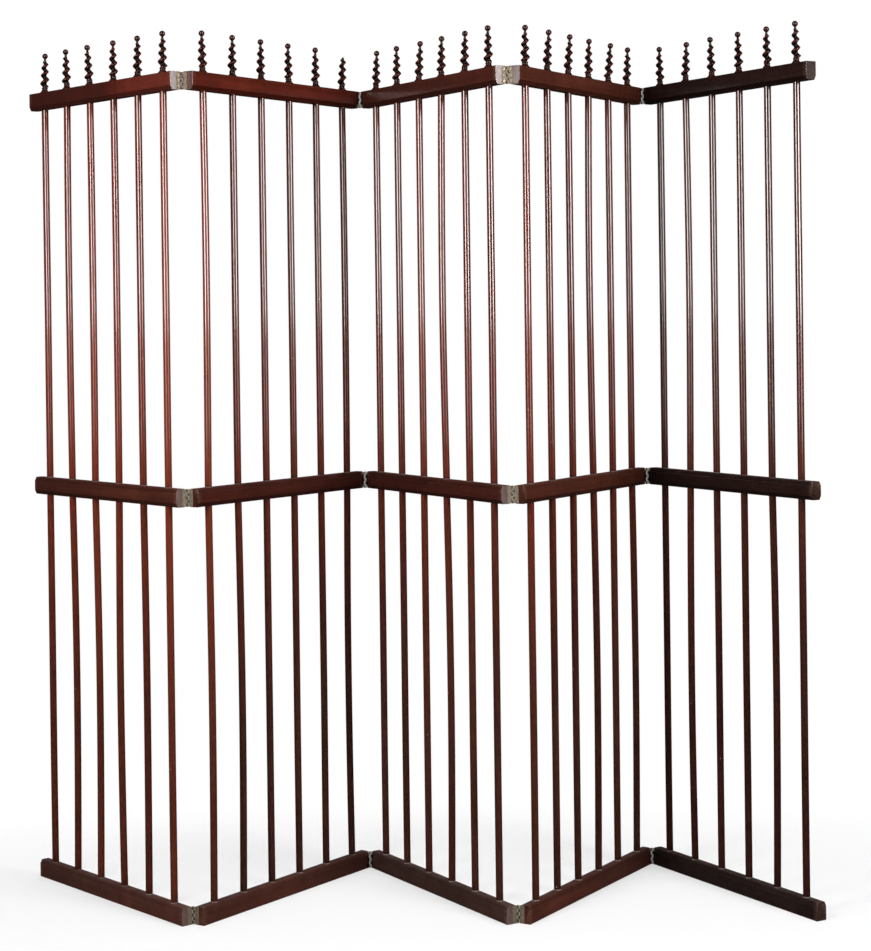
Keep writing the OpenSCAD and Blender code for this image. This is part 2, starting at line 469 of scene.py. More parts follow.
@dataclass(frozen=True)
class Mahogany:
    """Old polished mahogany with grain streaks, pores, mottling, soiling and rubbed arrises, and with painted
    light, painted shade and painted sheen where a finish asks for them.

    Args:
        name: Name of the material.
        body: Main colour of the polished face.
        dark: Colour of dark streaks, of soiling and of painted shade.
        worn: Colour where the polish has rubbed thin; on rods it is also the colour of the painted light, and
            on finials of the painted highlight on the ridges.
        grain: Which way the grain runs.
        seed: Moves the pattern so that no two pieces match.
        gloss: Share of clear polish over the wood.
        rough: Roughness of the wood under the polish.
        bright: Heights over which painted light turns the stain lighter and redder, or None.
        coat_ior: Refraction of the clear polish; a high one mirrors the lamps more.
        coat_rough: Roughness of the clear polish.
        dark_until: Distance along the piece up to which the stain is darker, or None.
        chips: Whether small pale chips show in the polish.
        ripple: Depth of the waves in the polish.
        dark_ends: How much painted shade darkens the stain at the left and at the right end of a rail.
        length: Length of the rail.
        film: Share of a thin grey film of dust over the whole piece.
        bloom: How much pale painted sheen lies on the end wood, at the left and at the right end of a rail.
        warm: Colour of the warmest rods.
        dim_top: Heights over which the painted light fades again and a little painted shade darkens the
            stain.
        sunned: Heights over which a rod's own tint comes out.
    """

    name: str
    body: Colour
    dark: Colour
    worn: Colour
    grain: Grain
    seed: float
    gloss: float = 0.6
    rough: float = 0.3
    bright: Span | None = None
    coat_ior: float = 1.6
    coat_rough: float = 0.14
    dark_until: float | None = None
    chips: bool = False
    ripple: float = 0.25 * MM
    dark_ends: tuple[float, float] = (0.0, 0.0)
    length: float = RAIL_LENGTH
    film: float = 0.0
    bloom: tuple[float, float] = (0.0, 0.0)
    warm: Colour = srgb(132, 58, 34)
    dim_top: Span = (1.1, 1.4)
    sunned: Span = (0.1, 1.1)

    def material(self) -> bpy.types.Material:
        """Builds the material."""
        made, board = new_board(self.name)
        maps = WoodMaps(board, self.grain, self.seed)
        mottle, fine, pores, faces_up = maps.mottle, maps.fine, maps.pores, maps.faces_up
        # Rubbed polish lightens the wood; through the same layer a painted highlight lightens a finial's
        # ridges.
        rub = (maps.wear * (0.25 + 1.1 * mottle) * fine.rise(0.30, 0.62)).clamped()
        # Soiling darkens the wood; through the same layer painted shade darkens the chamfers and a finial's
        # hollows, creases, neck and the underside of its ball.
        dirt = (maps.grime * (0.55 + 0.6 * mottle)).clamped()
        dust = (maps.dust * mottle.rise(0.25, 0.55) * (0.4 + fine)).clamped()

        colour = self.stained(board, maps)
        colour = self.darkened(board, maps, colour)
        colour = board.mix(pores * Mark.PORES.shows, colour, scaled(self.dark, 0.45))
        colour = board.mix(rub * Mark.RUBBED.shows, colour, self.worn)
        colour = board.mix(dirt, colour, scaled(self.dark, 0.5))
        colour = self.whitened(board, maps, colour)
        colour = board.mix(dust * Mark.DUST.shows, colour, Residue.DUST.colour())

        marks = ((Mark.DIRT, dirt), (Mark.RUBBED, rub), (Mark.PORES, pores), (Mark.SETTLED, faces_up),
                 (Mark.DUST, dust))
        rough, coat = self.rough + mottle * 0.14, self.gloss
        for mark, share in marks:
            rough = rough + share * mark.roughens
            if mark.dulls:
                coat = coat * (1 - mark.dulls * share)
        under = board.bump(1 - pores, 0.3 * self.ripple, 0.7)
        board.surface({
            "Base Color": colour, "Roughness": rough.clamped(), "Specular IOR Level": 0.0,
            "Coat Weight": coat.clamped(), "Coat Roughness": self.coat_rough, "Coat IOR": self.coat_ior,
            "Normal": board.bump(mottle * 0.7 + fine * 0.3, self.ripple, 0.5, under),
        })
        return made

    def stained(self, board: Board, maps: WoodMaps) -> Socket:
        """Colour of the stained grain, with the painted light up a rod and the tint that a rod has of its
        own.

        Args:
            board: The node board.
            maps: The numbers over the piece.

        Returns:
            The colour's socket.
        """
        figure = (maps.streaks.rise(0.33, 0.68) * 0.6 + maps.mottle.rise(0.25, 0.75) * 0.4)
        colour = board.mix(figure, board.mix(0.45, self.dark, self.body), scaled(self.body, 1.42))
        colour = board.mix((maps.cloud.rise(0.62, 0.35) * 0.45).clamped(), colour, self.dark)
        # Painted light: the stain turns lighter and redder up a rod's height, then fades again towards the
        # top, where a little painted shade darkens it.
        if self.bright is not None:
            top = maps.height.rise(*self.dim_top)
            glow = maps.height.rise(*self.bright) * (1 - 0.3 * top) * (0.55 + 0.6 * maps.mottle)
            colour = board.mix(glow.clamped(), colour, self.worn)
            colour = board.mix(top * 0.1, colour, self.dark)
        shown = maps.height.rise(*self.sunned) * 0.8 + 0.2
        warmth = (maps.tone * shown * (0.35 + 0.5 * maps.streaks)).clamped()
        colour = board.mix(warmth, colour, self.warm)
        return board.mix((maps.tone * -0.6).clamped(), colour, self.dark)

    def darkened(self, board: Board, maps: WoodMaps, colour: Socket) -> Socket:
        """Adds painted shade at a rail's ends, and a patch of older stain with its crack.

        Args:
            board: The node board.
            maps: The numbers over the piece.
            colour: The colour so far.

        Returns:
            The colour's socket.
        """
        # Painted shade: the stain darkens towards the ends given, which lie at the back of the screen's
        # zigzag.
        if any(self.dark_ends):
            left, right = self.dark_ends
            share = maps.across / self.length + 0.12 * (maps.cloud - 0.5)
            ends = (share.rise(0.75, 0.0) * left + share.rise(0.25, 1.0) * right).clamped()
            colour = board.mix(ends, colour, self.dark)
        if self.dark_until is not None:
            seam = maps.across + 0.02 * (maps.mottle - 0.5)
            old = seam.rise(self.dark_until + 20 * MM, self.dark_until - 60 * MM)
            crack = abs(seam - self.dark_until).rise(2.2 * MM, 0.6 * MM) * maps.cloud.rise(0.2, 0.5)
            colour = board.mix(old * 0.8, colour, scaled(self.dark, 0.6))
            colour = board.mix(crack * 0.9, colour, scaled(self.dark, 0.3))
        return colour

    def whitened(self, board: Board, maps: WoodMaps, colour: Socket) -> Socket:
        """Adds chips, settled dust with painted sheen on upward faces, painted sheen on the end wood and the
        grey film.

        Args:
            board: The node board.
            maps: The numbers over the piece.
            colour: The colour so far.

        Returns:
            The colour's socket.
        """
        if self.chips:
            spots = board.cells(maps.near, 30.0) + 0.02 * (maps.fine - 0.5)
            colour = board.mix(spots.rise(0.030, 0.022), colour, Residue.CHIP.colour())
        # Upward faces turn greyer: settled dust, and a painted sheen of the pale backdrop.
        colour = board.mix(maps.faces_up * (0.12 + 0.2 * maps.mottle), colour, Residue.SETTLED.colour())
        # Painted sheen: the end wood turns pale grey, by a given amount at each end.
        if any(self.bloom):
            left, right = self.bloom
            half = self.length / 2
            end_wood = abs(maps.sideways).rise(0.80, 0.98)
            bloom = maps.across.rise(half, 0.9 * half) * left + maps.across.rise(half, 1.1 * half) * right
            pale = (end_wood * bloom * (0.7 + 0.6 * maps.mottle)).clamped()
            colour = board.mix(pale, colour, Residue.BLOOM.colour())
        if self.film:
            thin = (self.film * (0.4 + 1.2 * maps.mottle)).clamped()
            colour = board.mix(thin, colour, Residue.FILM.colour())
        return colour


@dataclass(frozen=True)
class OldBrass:
    """Unpolished brass with dull patina, dark pits and brighter rubbed patches.

    Args:
        name: Name of the material.
        metal: Colour of the bare metal.
        patina: Colour of the dull skin.
        pit: Colour in the pits.
        seed: Moves the pattern.
        dull: Share of the surface that the dull skin covers, from 0 to 1.
        shine: How metallic the bare metal looks, from 0 to 1.
        pitted: How much the pits show, from 0 to 1.
        plain_gloss: Specular level of the dull skin.
        rubbed_crown: Whether painted shade darkens the barrels' flanks and leaves only their crown bare.
        pins: Places of the hinge pins beside which soiling and painted shade darken the corners, or none.
        barrel_edge: Distances from a pin over which the soiling and painted shade start, at the barrel.
        corner_edge: Distances from a pin over which it ends, in the corner of the rail.
        flank_edge: Depths behind a pin over which the painted shade on a barrel's flanks gives way towards
            its crown.
    """

    name: str
    metal: Colour
    patina: Colour
    pit: Colour
    seed: float
    dull: float = 0.55
    shine: float = 0.92
    pitted: float = 1.0
    plain_gloss: float = 0.5
    pins: tuple[Point, ...] = ()
    rubbed_crown: bool = False
    barrel_edge: Span = (1.62 * MM, 1.80 * MM)
    corner_edge: Span = (3.4 * MM, 2.9 * MM)
    flank_edge: Span = (1.35 * MM, 0.75 * MM)

    def material(self) -> bpy.types.Material:
        """Builds the material."""
        made, board = new_board(self.name)
        at = board.stretched(board.place(), (1.0, 1.0, 1.0), (self.seed, 0.7 * self.seed, 0.3 * self.seed))
        cast = board.noise(at, 240.0, 4.0, 0.62, 0.4)
        grit = board.noise(at, 900.0, 3.0, 0.6)
        pits = (self.pitted * board.cells(at, 520.0).rise(0.34, 0.16) * cast.rise(0.42, 0.56)).clamped()
        skin = (cast.rise(0.62, 0.36) * 0.7 + grit * 0.5 - 0.35 + self.dull * 0.6).clamped()
        colour = board.mix(skin, self.metal, self.patina)
        colour = board.mix((pits * 0.9).clamped(), colour, self.pit)
        # Soiling and painted shade in the corners by the barrels, and painted shade on the front barrels'
        # flanks.
        packed = self.packed_dirt(board)
        if packed is not None:
            colour = board.mix(packed, colour, scaled(self.pit, 0.4))
            pits = (pits + packed).clamped()
        metallic = (self.shine * (1 - 0.6 * skin) * (1 - pits)).clamped()
        rough = (0.38 + 0.22 * skin + 0.15 * grit + 0.25 * pits).clamped()
        under = board.bump(1 - pits, 0.25 * MM, 0.8)
        normal = board.bump(grit * 0.5 + cast, 0.10 * MM, 0.6, under)
        board.surface({"Base Color": colour, "Metallic": metallic, "Roughness": rough,
                       "Specular IOR Level": self.plain_gloss, "Normal": normal})
        return made

    def packed_dirt(self, board: Board) -> Value | None:
        """Soiling and painted shade between the barrel and the corner of the rail.

        Args:
            board: The node board that it goes on.

        Returns:
            Soiling and painted shade from 0 to 1, or None where no pin is given.
        """
        across, deep, _ = board.parts(board.place())
        whole = None
        for x, y in self.pins:
            off = ((across - x) ** 2 + (deep - y) ** 2) ** 0.5
            ring = off.rise(*self.barrel_edge) * off.rise(*self.corner_edge)
            # Painted shade on a barrel's flanks, so that only its crown shows light.
            if self.rubbed_crown:
                flank = off.rise(*self.corner_edge) * (y - deep).rise(*self.flank_edge)
                ring = ring.larger(0.85 * flank)
            whole = ring if whole is None else whole + ring
        return None if whole is None else whole.clamped()


@dataclass(frozen=True)
class PaleFloor:
    """Pale studio floor that keeps the soft shadow near the screen and runs out to white.

    Args:
        paint: How light the lamps make the floor for the camera.
        lift: Plain white that the camera sees on top of the lit floor.
        bounce: How much of the light the floor throws back up at the screen.
        mirrored: How light the floor shows in the polish.
        reach: Distances from the middle, with those along the screen halved, over which it runs out to white.
    """

    paint: float = 0.55
    lift: float = 0.45
    bounce: float = 0.40
    mirrored: float = 0.03
    reach: Span = (0.32, 0.95)

    def material(self) -> bpy.types.Material:
        """Builds the material."""
        made, board = new_board("pale_floor")

        def matt(colour: Colour | Socket) -> Socket:
            """A surface that only scatters light."""
            return board.node("ShaderNodeBsdfDiffuse", {}, {"Color": colour}).outputs[0]

        def glow(strength: float) -> Socket:
            """A surface that gives plain white light."""
            inputs = {"Color": grey(1.0), "Strength": strength}
            return board.node("ShaderNodeEmission", {}, inputs).outputs[0]

        def choose(share: Value, first: Socket, second: Socket) -> Socket:
            """Two surfaces mixed by the second one's share."""
            return board.node("ShaderNodeMixShader", {}, {0: share, 1: first, 2: second}).outputs[0]

        across, deep, _ = board.parts(board.place())
        out = ((0.25 * across * across + deep * deep) ** 0.5).rise(*self.reach)
        fleck = board.noise(board.place(), 3.0, 3.0) * 0.06
        lit = matt(board.mix(fleck, grey(self.bounce), scaled(grey(self.bounce), 0.9)))
        both = {0: matt(grey(self.paint)), 1: glow(self.lift)}
        seen = choose(out, board.node("ShaderNodeAddShader", {}, both).outputs[0], glow(1.0))
        camera = Value(board, board.output("ShaderNodeLightPath", "Is Camera Ray"))
        gloss = Value(board, board.output("ShaderNodeLightPath", "Is Glossy Ray"))
        whole = choose(camera, choose(gloss, lit, glow(self.mirrored)), seen)
        board.node("ShaderNodeOutputMaterial", {}, {"Surface": whole})
        return made


# ---- Mesh work ----------------------------------------------------------------------------------------


class Skin:
    """A closed mesh built ring by ring, with numbers at each vertex for rubbing and painted highlight,
    soiling and painted shade, dust and tone.
    """

    LAYERS = ("wear", "grime", "dust", "tone")

    def __init__(self) -> None:
        """Starts with nothing."""
        self.mesh = bmesh.new()
        self.layers = [self.mesh.verts.layers.float.new(name) for name in self.LAYERS]

    def ring(self, points: Iterable[Vector], wear: Iterable[float] | float, grime: Iterable[float] | float,
             dust: float = 0.0, tone: float = 0.0) -> Ring:
        """Adds the vertices of one ring.

        Args:
            points: Places of the vertices, in order round the ring.
            wear: How rubbed each is, with a painted highlight where it is given, or one number for all.
            grime: How grimy each is, with painted shade where it is given, or one number for all.
            dust: How dusty the ring is.
            tone: How much warmer the stain is than the panel's own, from -1 for darker to 1.

        Returns:
            The new vertices.
        """
        made = [self.mesh.verts.new(p) for p in points]
        for layer, given in zip(self.layers, (wear, grime, dust, tone)):
            levels = [given] * len(made) if isinstance(given, (int, float)) else list(given)
            for vertex, level in zip(made, levels):
                vertex[layer] = level
        return made

    def join(self, rings: Sequence[Ring]) -> None:
        """Joins rings of equal size with smooth sides, and closes the first and the last.

        Args:
            rings: The rings, from one end to the other, counter-clockwise seen against their order.
        """
        for low, high in zip(rings, rings[1:]):
            for n in range(len(low)):
                m = (n + 1) % len(low)
                self.mesh.faces.new((low[n], low[m], high[m], high[n])).smooth = True
        self.mesh.faces.new(list(reversed(rings[0])))
        self.mesh.faces.new(rings[-1])

    def finish(self, name: str, place: Matrix) -> Piece:
        """Turns the skin into an object.

        Args:
            name: Name of the piece.
            place: Matrix from the piece's own axes to the frame's.

        Returns:
            The object, in place.
        """
        bmesh.ops.recalc_face_normals(self.mesh, faces=self.mesh.faces)
        data = bpy.data.meshes.new(name)
        self.mesh.to_mesh(data)
        self.mesh.free()
        made = bpy.data.objects.new(name, data)
        made.matrix_world = place
        bpy.context.scene.collection.objects.link(made)
        return made


def rounded(corners: Sequence[Point], radius: float, steps: int = 3) -> list[tuple[Point, float]]:
    """Outline with small arcs in place of its corners.

    Args:
        corners: The corners in order.
        radius: Radius of each arc.
        steps: Number of stretches in an arc.

    Returns:
        Points of the outline, each with how exposed it is: 1 in the middle of an arc, 0 at its ends.
    """
    outline: list[tuple[Point, float]] = []
    count = len(corners)
    for n, here in enumerate(corners):
        corner = Vector(here)
        back = (Vector(corners[n - 1]) - corner).normalized()
        on = (Vector(corners[(n + 1) % count]) - corner).normalized()
        half = 0.5 * back.angle(on)
        reach = radius / math.tan(half)
        middle = corner + (back + on).normalized() * (radius / math.sin(half))
        start = corner + back * reach - middle
        end = corner + on * reach - middle
        for step in range(steps + 1):
            share = step / steps
            spoke = (start * (1 - share) + end * share).normalized() * radius
            outline.append(((middle.x + spoke.x, middle.y + spoke.y), math.sin(math.pi * share)))
    return outline


def wander(*at: float) -> float:
    """Smooth noise from about -1 to 1 at a point of three numbers."""
    return noise.noise(Vector(at))


def shape_from(piece: Piece) -> None:
    """Applies a piece's modifiers to its mesh."""
    graph = bpy.context.evaluated_depsgraph_get()
    applied = bpy.data.meshes.new_from_object(piece.evaluated_get(graph), depsgraph=graph)
    old, name = piece.data, piece.data.name
    piece.modifiers.clear()
    piece.data = applied
    bpy.data.meshes.remove(old)
    applied.name = name


# ---- The panels ---------------------------------------------------------------------------------------


class Level(Enum):
    """The three rails of a panel: node ending, whether its lower and upper long edges are chamfered."""

    TOP = ("top_rail", True, False)
    MIDDLE = ("middle_rail", True, True)
    BOTTOM = ("bottom_rail", False, True)

    @property
    def part(self) -> str:
        """Ending of the rail's node name."""
        return self.value[0]


@dataclass(frozen=True)
class PanelPlace:
    """Where a panel stands, read from the frame.

    Args:
        number: Panel, from 1 at the left to 5 at the right.
        corner: Front left corner of the panel on the floor.
        heading: Angle from the frame's X axis to the rails, in radians.
    """

    number: int
    corner: Vector
    heading: float

    @classmethod
    def read(cls, number: int) -> PanelPlace:
        """Reads a panel's place from the box of its middle rail.

        Args:
            number: Panel number.

        Returns:
            The panel's place.
        """
        low, high = (Vector(p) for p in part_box(f"panel_{number}_{Level.MIDDLE.part}"))
        wide, deep = high.x - low.x, high.y - low.y
        steep = math.atan2(deep * RAIL_LENGTH - wide * RAIL_THICK, wide * RAIL_LENGTH - deep * RAIL_THICK)
        heading = -steep if number % 2 else steep
        turn = Matrix.Rotation(heading, 3, "Z")
        corner = (low + high) / 2 - turn @ Vector((RAIL_LENGTH / 2, RAIL_THICK / 2, 0.0))
        return cls(number, Vector((corner.x, corner.y, 0.0)), heading)

    @property
    def body(self) -> str:
        """Name of the panel's body."""
        return f"panel_{self.number}"

    def matrix(self, u: float = 0.0, v: float = 0.0, z: float = 0.0) -> Matrix:
        """Matrix from axes along the rail, across it and up, starting at a place on the panel."""
        turn = Matrix.Rotation(self.heading, 4, "Z")
        return Matrix.Translation(self.corner) @ turn @ Matrix.Translation((u, v, z))

    def node(self, part: str) -> str:
        """Name of one of the panel's nodes."""
        return f"{self.body}_{part}"


@dataclass
class Rail:
    """One rail: a bar with soft arrises, steep chamfers where the rods come out, and hinge recesses.

    Args:
        place: The panel that it belongs to.
        level: Which of the panel's rails it is.
        finish: Its wood and polish.
        rod_places: Places of the rods along it.
        length: Its length.
        height: Its height.
        thick: Its thickness.
        chamfer_h: Height of a chamfer.
        chamfer_d: Depth of a chamfer into the thickness.
        ease: Small chamfer on the long edges that no rod comes out of.
        arris: Radius of the rounded arrises.
        end_rounding: Places from the end of the sections that round it, each with how far it is drawn in.
        sag: Half of how far the faces wander inwards.
        slack: Tolerance in finding which part of the cross section a point is on.
        leaf_t: Thickness of a hinge leaf.
        leaf_w: Width of a hinge leaf.
        leaf_h: Height of a hinge leaf.
        slices: Number of stretches along the rail.
    """

    # Painted shade darkens the chamfers; grimy soiling darkens the top rail's upper arrises and the wood
    # round the rods.
    CHAMFER_GRIME, CREST_GRIME, ROD_GRIME = 0.8, 0.9, 0.6
    CREST_DEPTH, ROD_GRIME_REACH, ROD_GRIME_FADE = 1.2 * MM, 15 * MM, 8 * MM
    CREST_WEAR, FOOT_WEAR, PLAIN_WEAR = 1.6, 1.0, 0.5
    END_WEAR, RIM_WEAR, RIM_WIDTH = 0.25, 0.8, 3 * MM

    place: PanelPlace
    level: Level
    finish: Mahogany
    rod_places: Sequence[float]
    length: float = RAIL_LENGTH
    height: float = RAIL_HEIGHT
    thick: float = RAIL_THICK
    chamfer_h: float = 8.5 * MM
    chamfer_d: float = 4 * MM
    ease: float = 1 * MM
    arris: float = 0.8 * MM
    end_rounding: tuple[Point, ...] = ((0.0, 0.6 * MM), (0.25 * MM, 0.2 * MM), (0.7 * MM, 0.0))
    sag: float = 0.10 * MM
    slack: float = 0.1 * MM
    leaf_t: float = 0.9 * MM
    leaf_w: float = 10.8 * MM
    leaf_h: float = 36 * MM
    slices: int = 44

    def outline(self) -> list[tuple[Point, float]]:
        """Cross section in thickness and height, with how exposed each point is."""
        _, lower, upper = self.level.value
        low_d, low_h = (self.chamfer_d, self.chamfer_h) if lower else (self.ease, self.ease)
        high_d, high_h = (self.chamfer_d, self.chamfer_h) if upper else (self.ease, self.ease)
        t, h = self.thick, self.height
        corners = [(low_d, 0.0), (t - low_d, 0.0), (t, low_h), (t, h - high_h),
                   (t - high_d, h), (high_d, h), (0.0, h - high_h), (0.0, low_h)]
        return rounded(corners, self.arris)

    def grime_at(self, u: float, point: Point) -> float:
        """Painted shade on the chamfers, and old soiling along the top rail's upper arrises and round the
        rods.

        Args:
            u: Place along the rail.
            point: Place on the cross section.

        Returns:
            Grime and painted shade from 0 to 1.
        """
        v, z = point
        _, lower, upper = self.level.value
        on_low = lower and z < self.chamfer_h + self.slack
        on_high = upper and z > self.height - self.chamfer_h - self.slack
        slope = self.CHAMFER_GRIME if on_low or on_high else 0.0
        crest = self.CREST_GRIME if not upper and z > self.height - self.CREST_DEPTH else 0.0
        near = min(math.hypot(u - rod, v - self.thick / 2) for rod in self.rod_places)
        return max(slope, crest, self.ROD_GRIME * ramp((self.ROD_GRIME_REACH - near) / self.ROD_GRIME_FADE))

    def wear_at(self, u: float, point: Point, exposed: float) -> float:
        """Rubbed polish on the arrises: most on the lower arris of an upper chamfer and at the rail's ends.

        Args:
            u: Place along the rail.
            point: Place on the cross section.
            exposed: How exposed the point is.

        Returns:
            Wear from 0 to 1.
        """
        z = point[1]
        _, lower, upper = self.level.value
        on_crest = upper and abs(z - (self.height - self.chamfer_h)) < MM
        under = lower and z < self.arris
        elsewhere = self.PLAIN_WEAR if upper or z < self.height / 2 else 0.0
        long_arris = exposed * (self.CREST_WEAR if on_crest else self.FOOT_WEAR if under else elsewhere)
        from_end = min(u, self.length - u)
        rim = self.RIM_WEAR * ramp(1 - from_end / self.RIM_WIDTH)
        return max(long_arris, self.END_WEAR if from_end < self.slack else rim)

    def build(self) -> Piece:
        """Builds the rail over its node.

        Returns:
            The rail's object.
        """
        node = self.place.node(self.level.part)
        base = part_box(node)[0][2]
        skin = Skin()
        outline = self.outline()
        inner = [(self.length * n / self.slices, 0.0) for n in range(1, self.slices)]
        right = [(self.length - u, inset) for u, inset in reversed(self.end_rounding)]
        stations = (*self.end_rounding, *inner, *right)
        skin.join([self.add_section(skin, outline, u, inset) for u, inset in stations])
        piece = skin.finish(f"{node}_polished", self.place.matrix(z=base))
        self.cut_recesses(piece)
        piece.data.polygons.foreach_set("use_smooth", [True] * len(piece.data.polygons))
        flat = piece.modifiers.new("flat_faces", "WEIGHTED_NORMAL")
        flat.weight = 100
        flat.keep_sharp = True
        piece.data.materials.append(self.finish.material())
        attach(piece, self.place.body)
        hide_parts(node)
        return piece

    def add_section(self, skin: Skin, outline: Sequence[tuple[Point, float]], u: float, inset: float) -> Ring:
        """Adds one cross section, with the slight sag of old scraped wood.

        Args:
            skin: The skin that it goes into.
            outline: Points of the cross section, each with how exposed it is.
            u: Place along the rail.
            inset: How far the section is drawn in, to round the rail's end.

        Returns:
            The section's vertices.
        """
        middle = Vector((self.thick / 2, self.height / 2))
        points, wear, grime = [], [], []
        for (v, z), exposed in outline:
            out = Vector((v, z)) - middle
            sag = self.sag * (1 + wander(u * 9, v * 60 + self.finish.seed, z * 60))
            out *= 1 - (inset + sag * (0.4 + exposed)) / (self.thick / 2)
            points.append(Vector((u, middle.x + out.x, middle.y + out.y)))
            wear.append(self.wear_at(u, (v, z), exposed))
            on_crest = z > self.height - self.chamfer_h - self.slack and exposed > 0
            clean = on_crest and self.level is not Level.TOP
            grime.append(0.0 if clean else self.grime_at(u, (v, z)))
        return skin.ring(points, wear, grime)

    def cut_recesses(self, piece: Piece) -> None:
        """Cuts the shallow recess for each hinge leaf into the rail's ends.

        Args:
            piece: The rail's object.
        """
        number = self.place.number
        lift = (self.height - self.leaf_h) / 2
        for at_right, hinge in ((False, number - 1), (True, number)):
            if not 1 <= hinge <= FOLD_COUNT:
                continue
            cutter_mesh = bpy.data.meshes.new("recess")
            shape = bmesh.new()
            u = (self.length - self.leaf_t, self.length + MM) if at_right else (-MM, self.leaf_t)
            behind = hinge % 2 == 1
            v = (self.thick - self.leaf_w, self.thick + MM) if behind else (-MM, self.leaf_w)
            size = (u[1] - u[0], v[1] - v[0], self.leaf_h, 1.0)
            centre = Vector((sum(u) / 2, sum(v) / 2, lift + self.leaf_h / 2))
            bmesh.ops.create_cube(shape, size=1.0, matrix=Matrix.Translation(centre) @ Matrix.Diagonal(size))
            shape.to_mesh(cutter_mesh)
            shape.free()
            cutter = bpy.data.objects.new("recess", cutter_mesh)
            cutter.matrix_world = piece.matrix_world
            bpy.context.scene.collection.objects.link(cutter)
            cut = piece.modifiers.new("recess", "BOOLEAN")
            cut.object = cutter
            cut.solver = "EXACT"
            shape_from(piece)
            bpy.data.objects.remove(cutter)
            bpy.data.meshes.remove(cutter_mesh)


@dataclass(frozen=True)
class Bow:
    """How far a rod bows to the right.

    Args:
        low: In the middle of its length below the middle rail.
        high: In the middle of its length above the middle rail.
    """

    low: float = 0.0
    high: float = 0.0


@dataclass
class Rods:
    """The six long rods of a panel, each gently bowed between the rails that hold it.

    Args:
        place: The panel that they belong to.
        finish: Their wood and polish.
        places: Their places along the rails.
        bows: How each bows.
        tints: How much warmer the stain of each is than the panel's own, from -1 for darker to 1.
        diameter: Their diameter.
        wave: How far each wanders besides its bow.
        wave_rate: How fast it wanders along its height.
        thinning: Share of the radius that is lost in places.
        thinning_rate: How fast the radius changes along the height.
        grime_reach: How far soiling spreads from the rails.
        sides: Number of sides of the mesh.
        slices: Number of even stretches along a rod.
        dust_steps: Heights about the top of a rail at which rings are added for the dust.
    """

    WEAR, GRIME = 0.25, 0.7
    DUST_HEIGHT, LOW_DUST, HIGH_DUST, HIGH_SHARE = 0.4 * MM, 2.2 * MM, 1.8 * MM, 0.5

    place: PanelPlace
    finish: Mahogany
    places: Sequence[float]
    bows: Sequence[Bow]
    tints: Sequence[float]
    diameter: float = 15 * MM
    wave: float = 0.5 * MM
    wave_rate: float = 2.2
    thinning: float = 0.006
    thinning_rate: float = 6.0
    grime_reach: float = 9 * MM
    sides: int = 32
    slices: int = 64
    dust_steps: tuple[float, ...] = (-1 * MM, 0.0, 0.9 * MM, 1.8 * MM, 3 * MM)

    def build(self) -> Piece:
        """Builds the rods over their node.

        Returns:
            One object that holds the panel's rods.
        """
        node = self.place.node("rods")
        low, high = (p[2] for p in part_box(node))
        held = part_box(self.place.node(Level.MIDDLE.part))
        skin = Skin()
        for number in range(1, len(self.places) + 1):
            self.add_rod(skin, (low, high), (held[0][2], held[1][2]), number)
        piece = skin.finish(f"{node}_polished", self.place.matrix())
        piece.data.materials.append(self.finish.material())
        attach(piece, self.place.body)
        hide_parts(node)
        return piece

    def heights(self, low: float, high: float, shelf: float) -> list[float]:
        """Heights of a rod's rings: even slices, and close ones where dust lies on top of a rail."""
        even = [blend(low, high, n / self.slices) for n in range(self.slices + 1)]
        return sorted(even + [top + step for top in (RAIL_HEIGHT, shelf) for step in self.dust_steps])

    def dust_at(self, z: float, shelf: float) -> float:
        """Dust on a rod just above the rail that it comes out of.

        Args:
            z: Height on the rod.
            shelf: Top of the middle rail.

        Returns:
            Dust from 0 to 1.
        """
        low = ramp(1 - abs(z - RAIL_HEIGHT - self.DUST_HEIGHT) / self.LOW_DUST)
        return max(low, self.HIGH_SHARE * ramp(1 - abs(z - shelf - self.DUST_HEIGHT) / self.HIGH_DUST))

    def add_rod(self, skin: Skin, ends: Span, held: Span, number: int) -> None:
        """Adds one rod.

        Args:
            skin: The skin that it goes into.
            ends: Heights of its two ends.
            held: Heights between which the middle rail holds it.
            number: Its number in the panel, from 1.
        """
        (low, high), bow, turn = ends, self.bows[number - 1], self.place.heading
        foot = Vector((self.places[number - 1], RAIL_THICK / 2))
        rings = []
        for z in self.heights(low, high, held[1]):
            below = math.sin(math.pi * min(max((z - low) / (held[0] - low), 0), 1))
            above = math.sin(math.pi * min(max((z - held[1]) / (high - held[1]), 0), 1))
            aside = bow.low * below + bow.high * above
            wave = self.wave * max(below, above)
            du = aside * math.cos(turn) + wave * wander(z * self.wave_rate, number, 1.5)
            dv = -aside * math.sin(turn) + wave * wander(z * self.wave_rate, number, 7.5)
            r = self.diameter / 2 * (1 - self.thinning * (1 + wander(z * self.thinning_rate, number, 3.5)))
            points = [Vector((foot.x + du + r * math.cos(a), foot.y + dv + r * math.sin(a), z))
                      for a in round_turn(self.sides)]
            gap = min(abs(z - edge) for edge in (RAIL_HEIGHT, *held, high - ROD_SOCKET))
            grime = self.GRIME * ramp(1 - gap / self.grime_reach)
            dust = self.dust_at(z, held[1])
            rings.append(skin.ring(points, self.WEAR, grime, dust, self.tints[number - 1]))
        skin.join(rings)


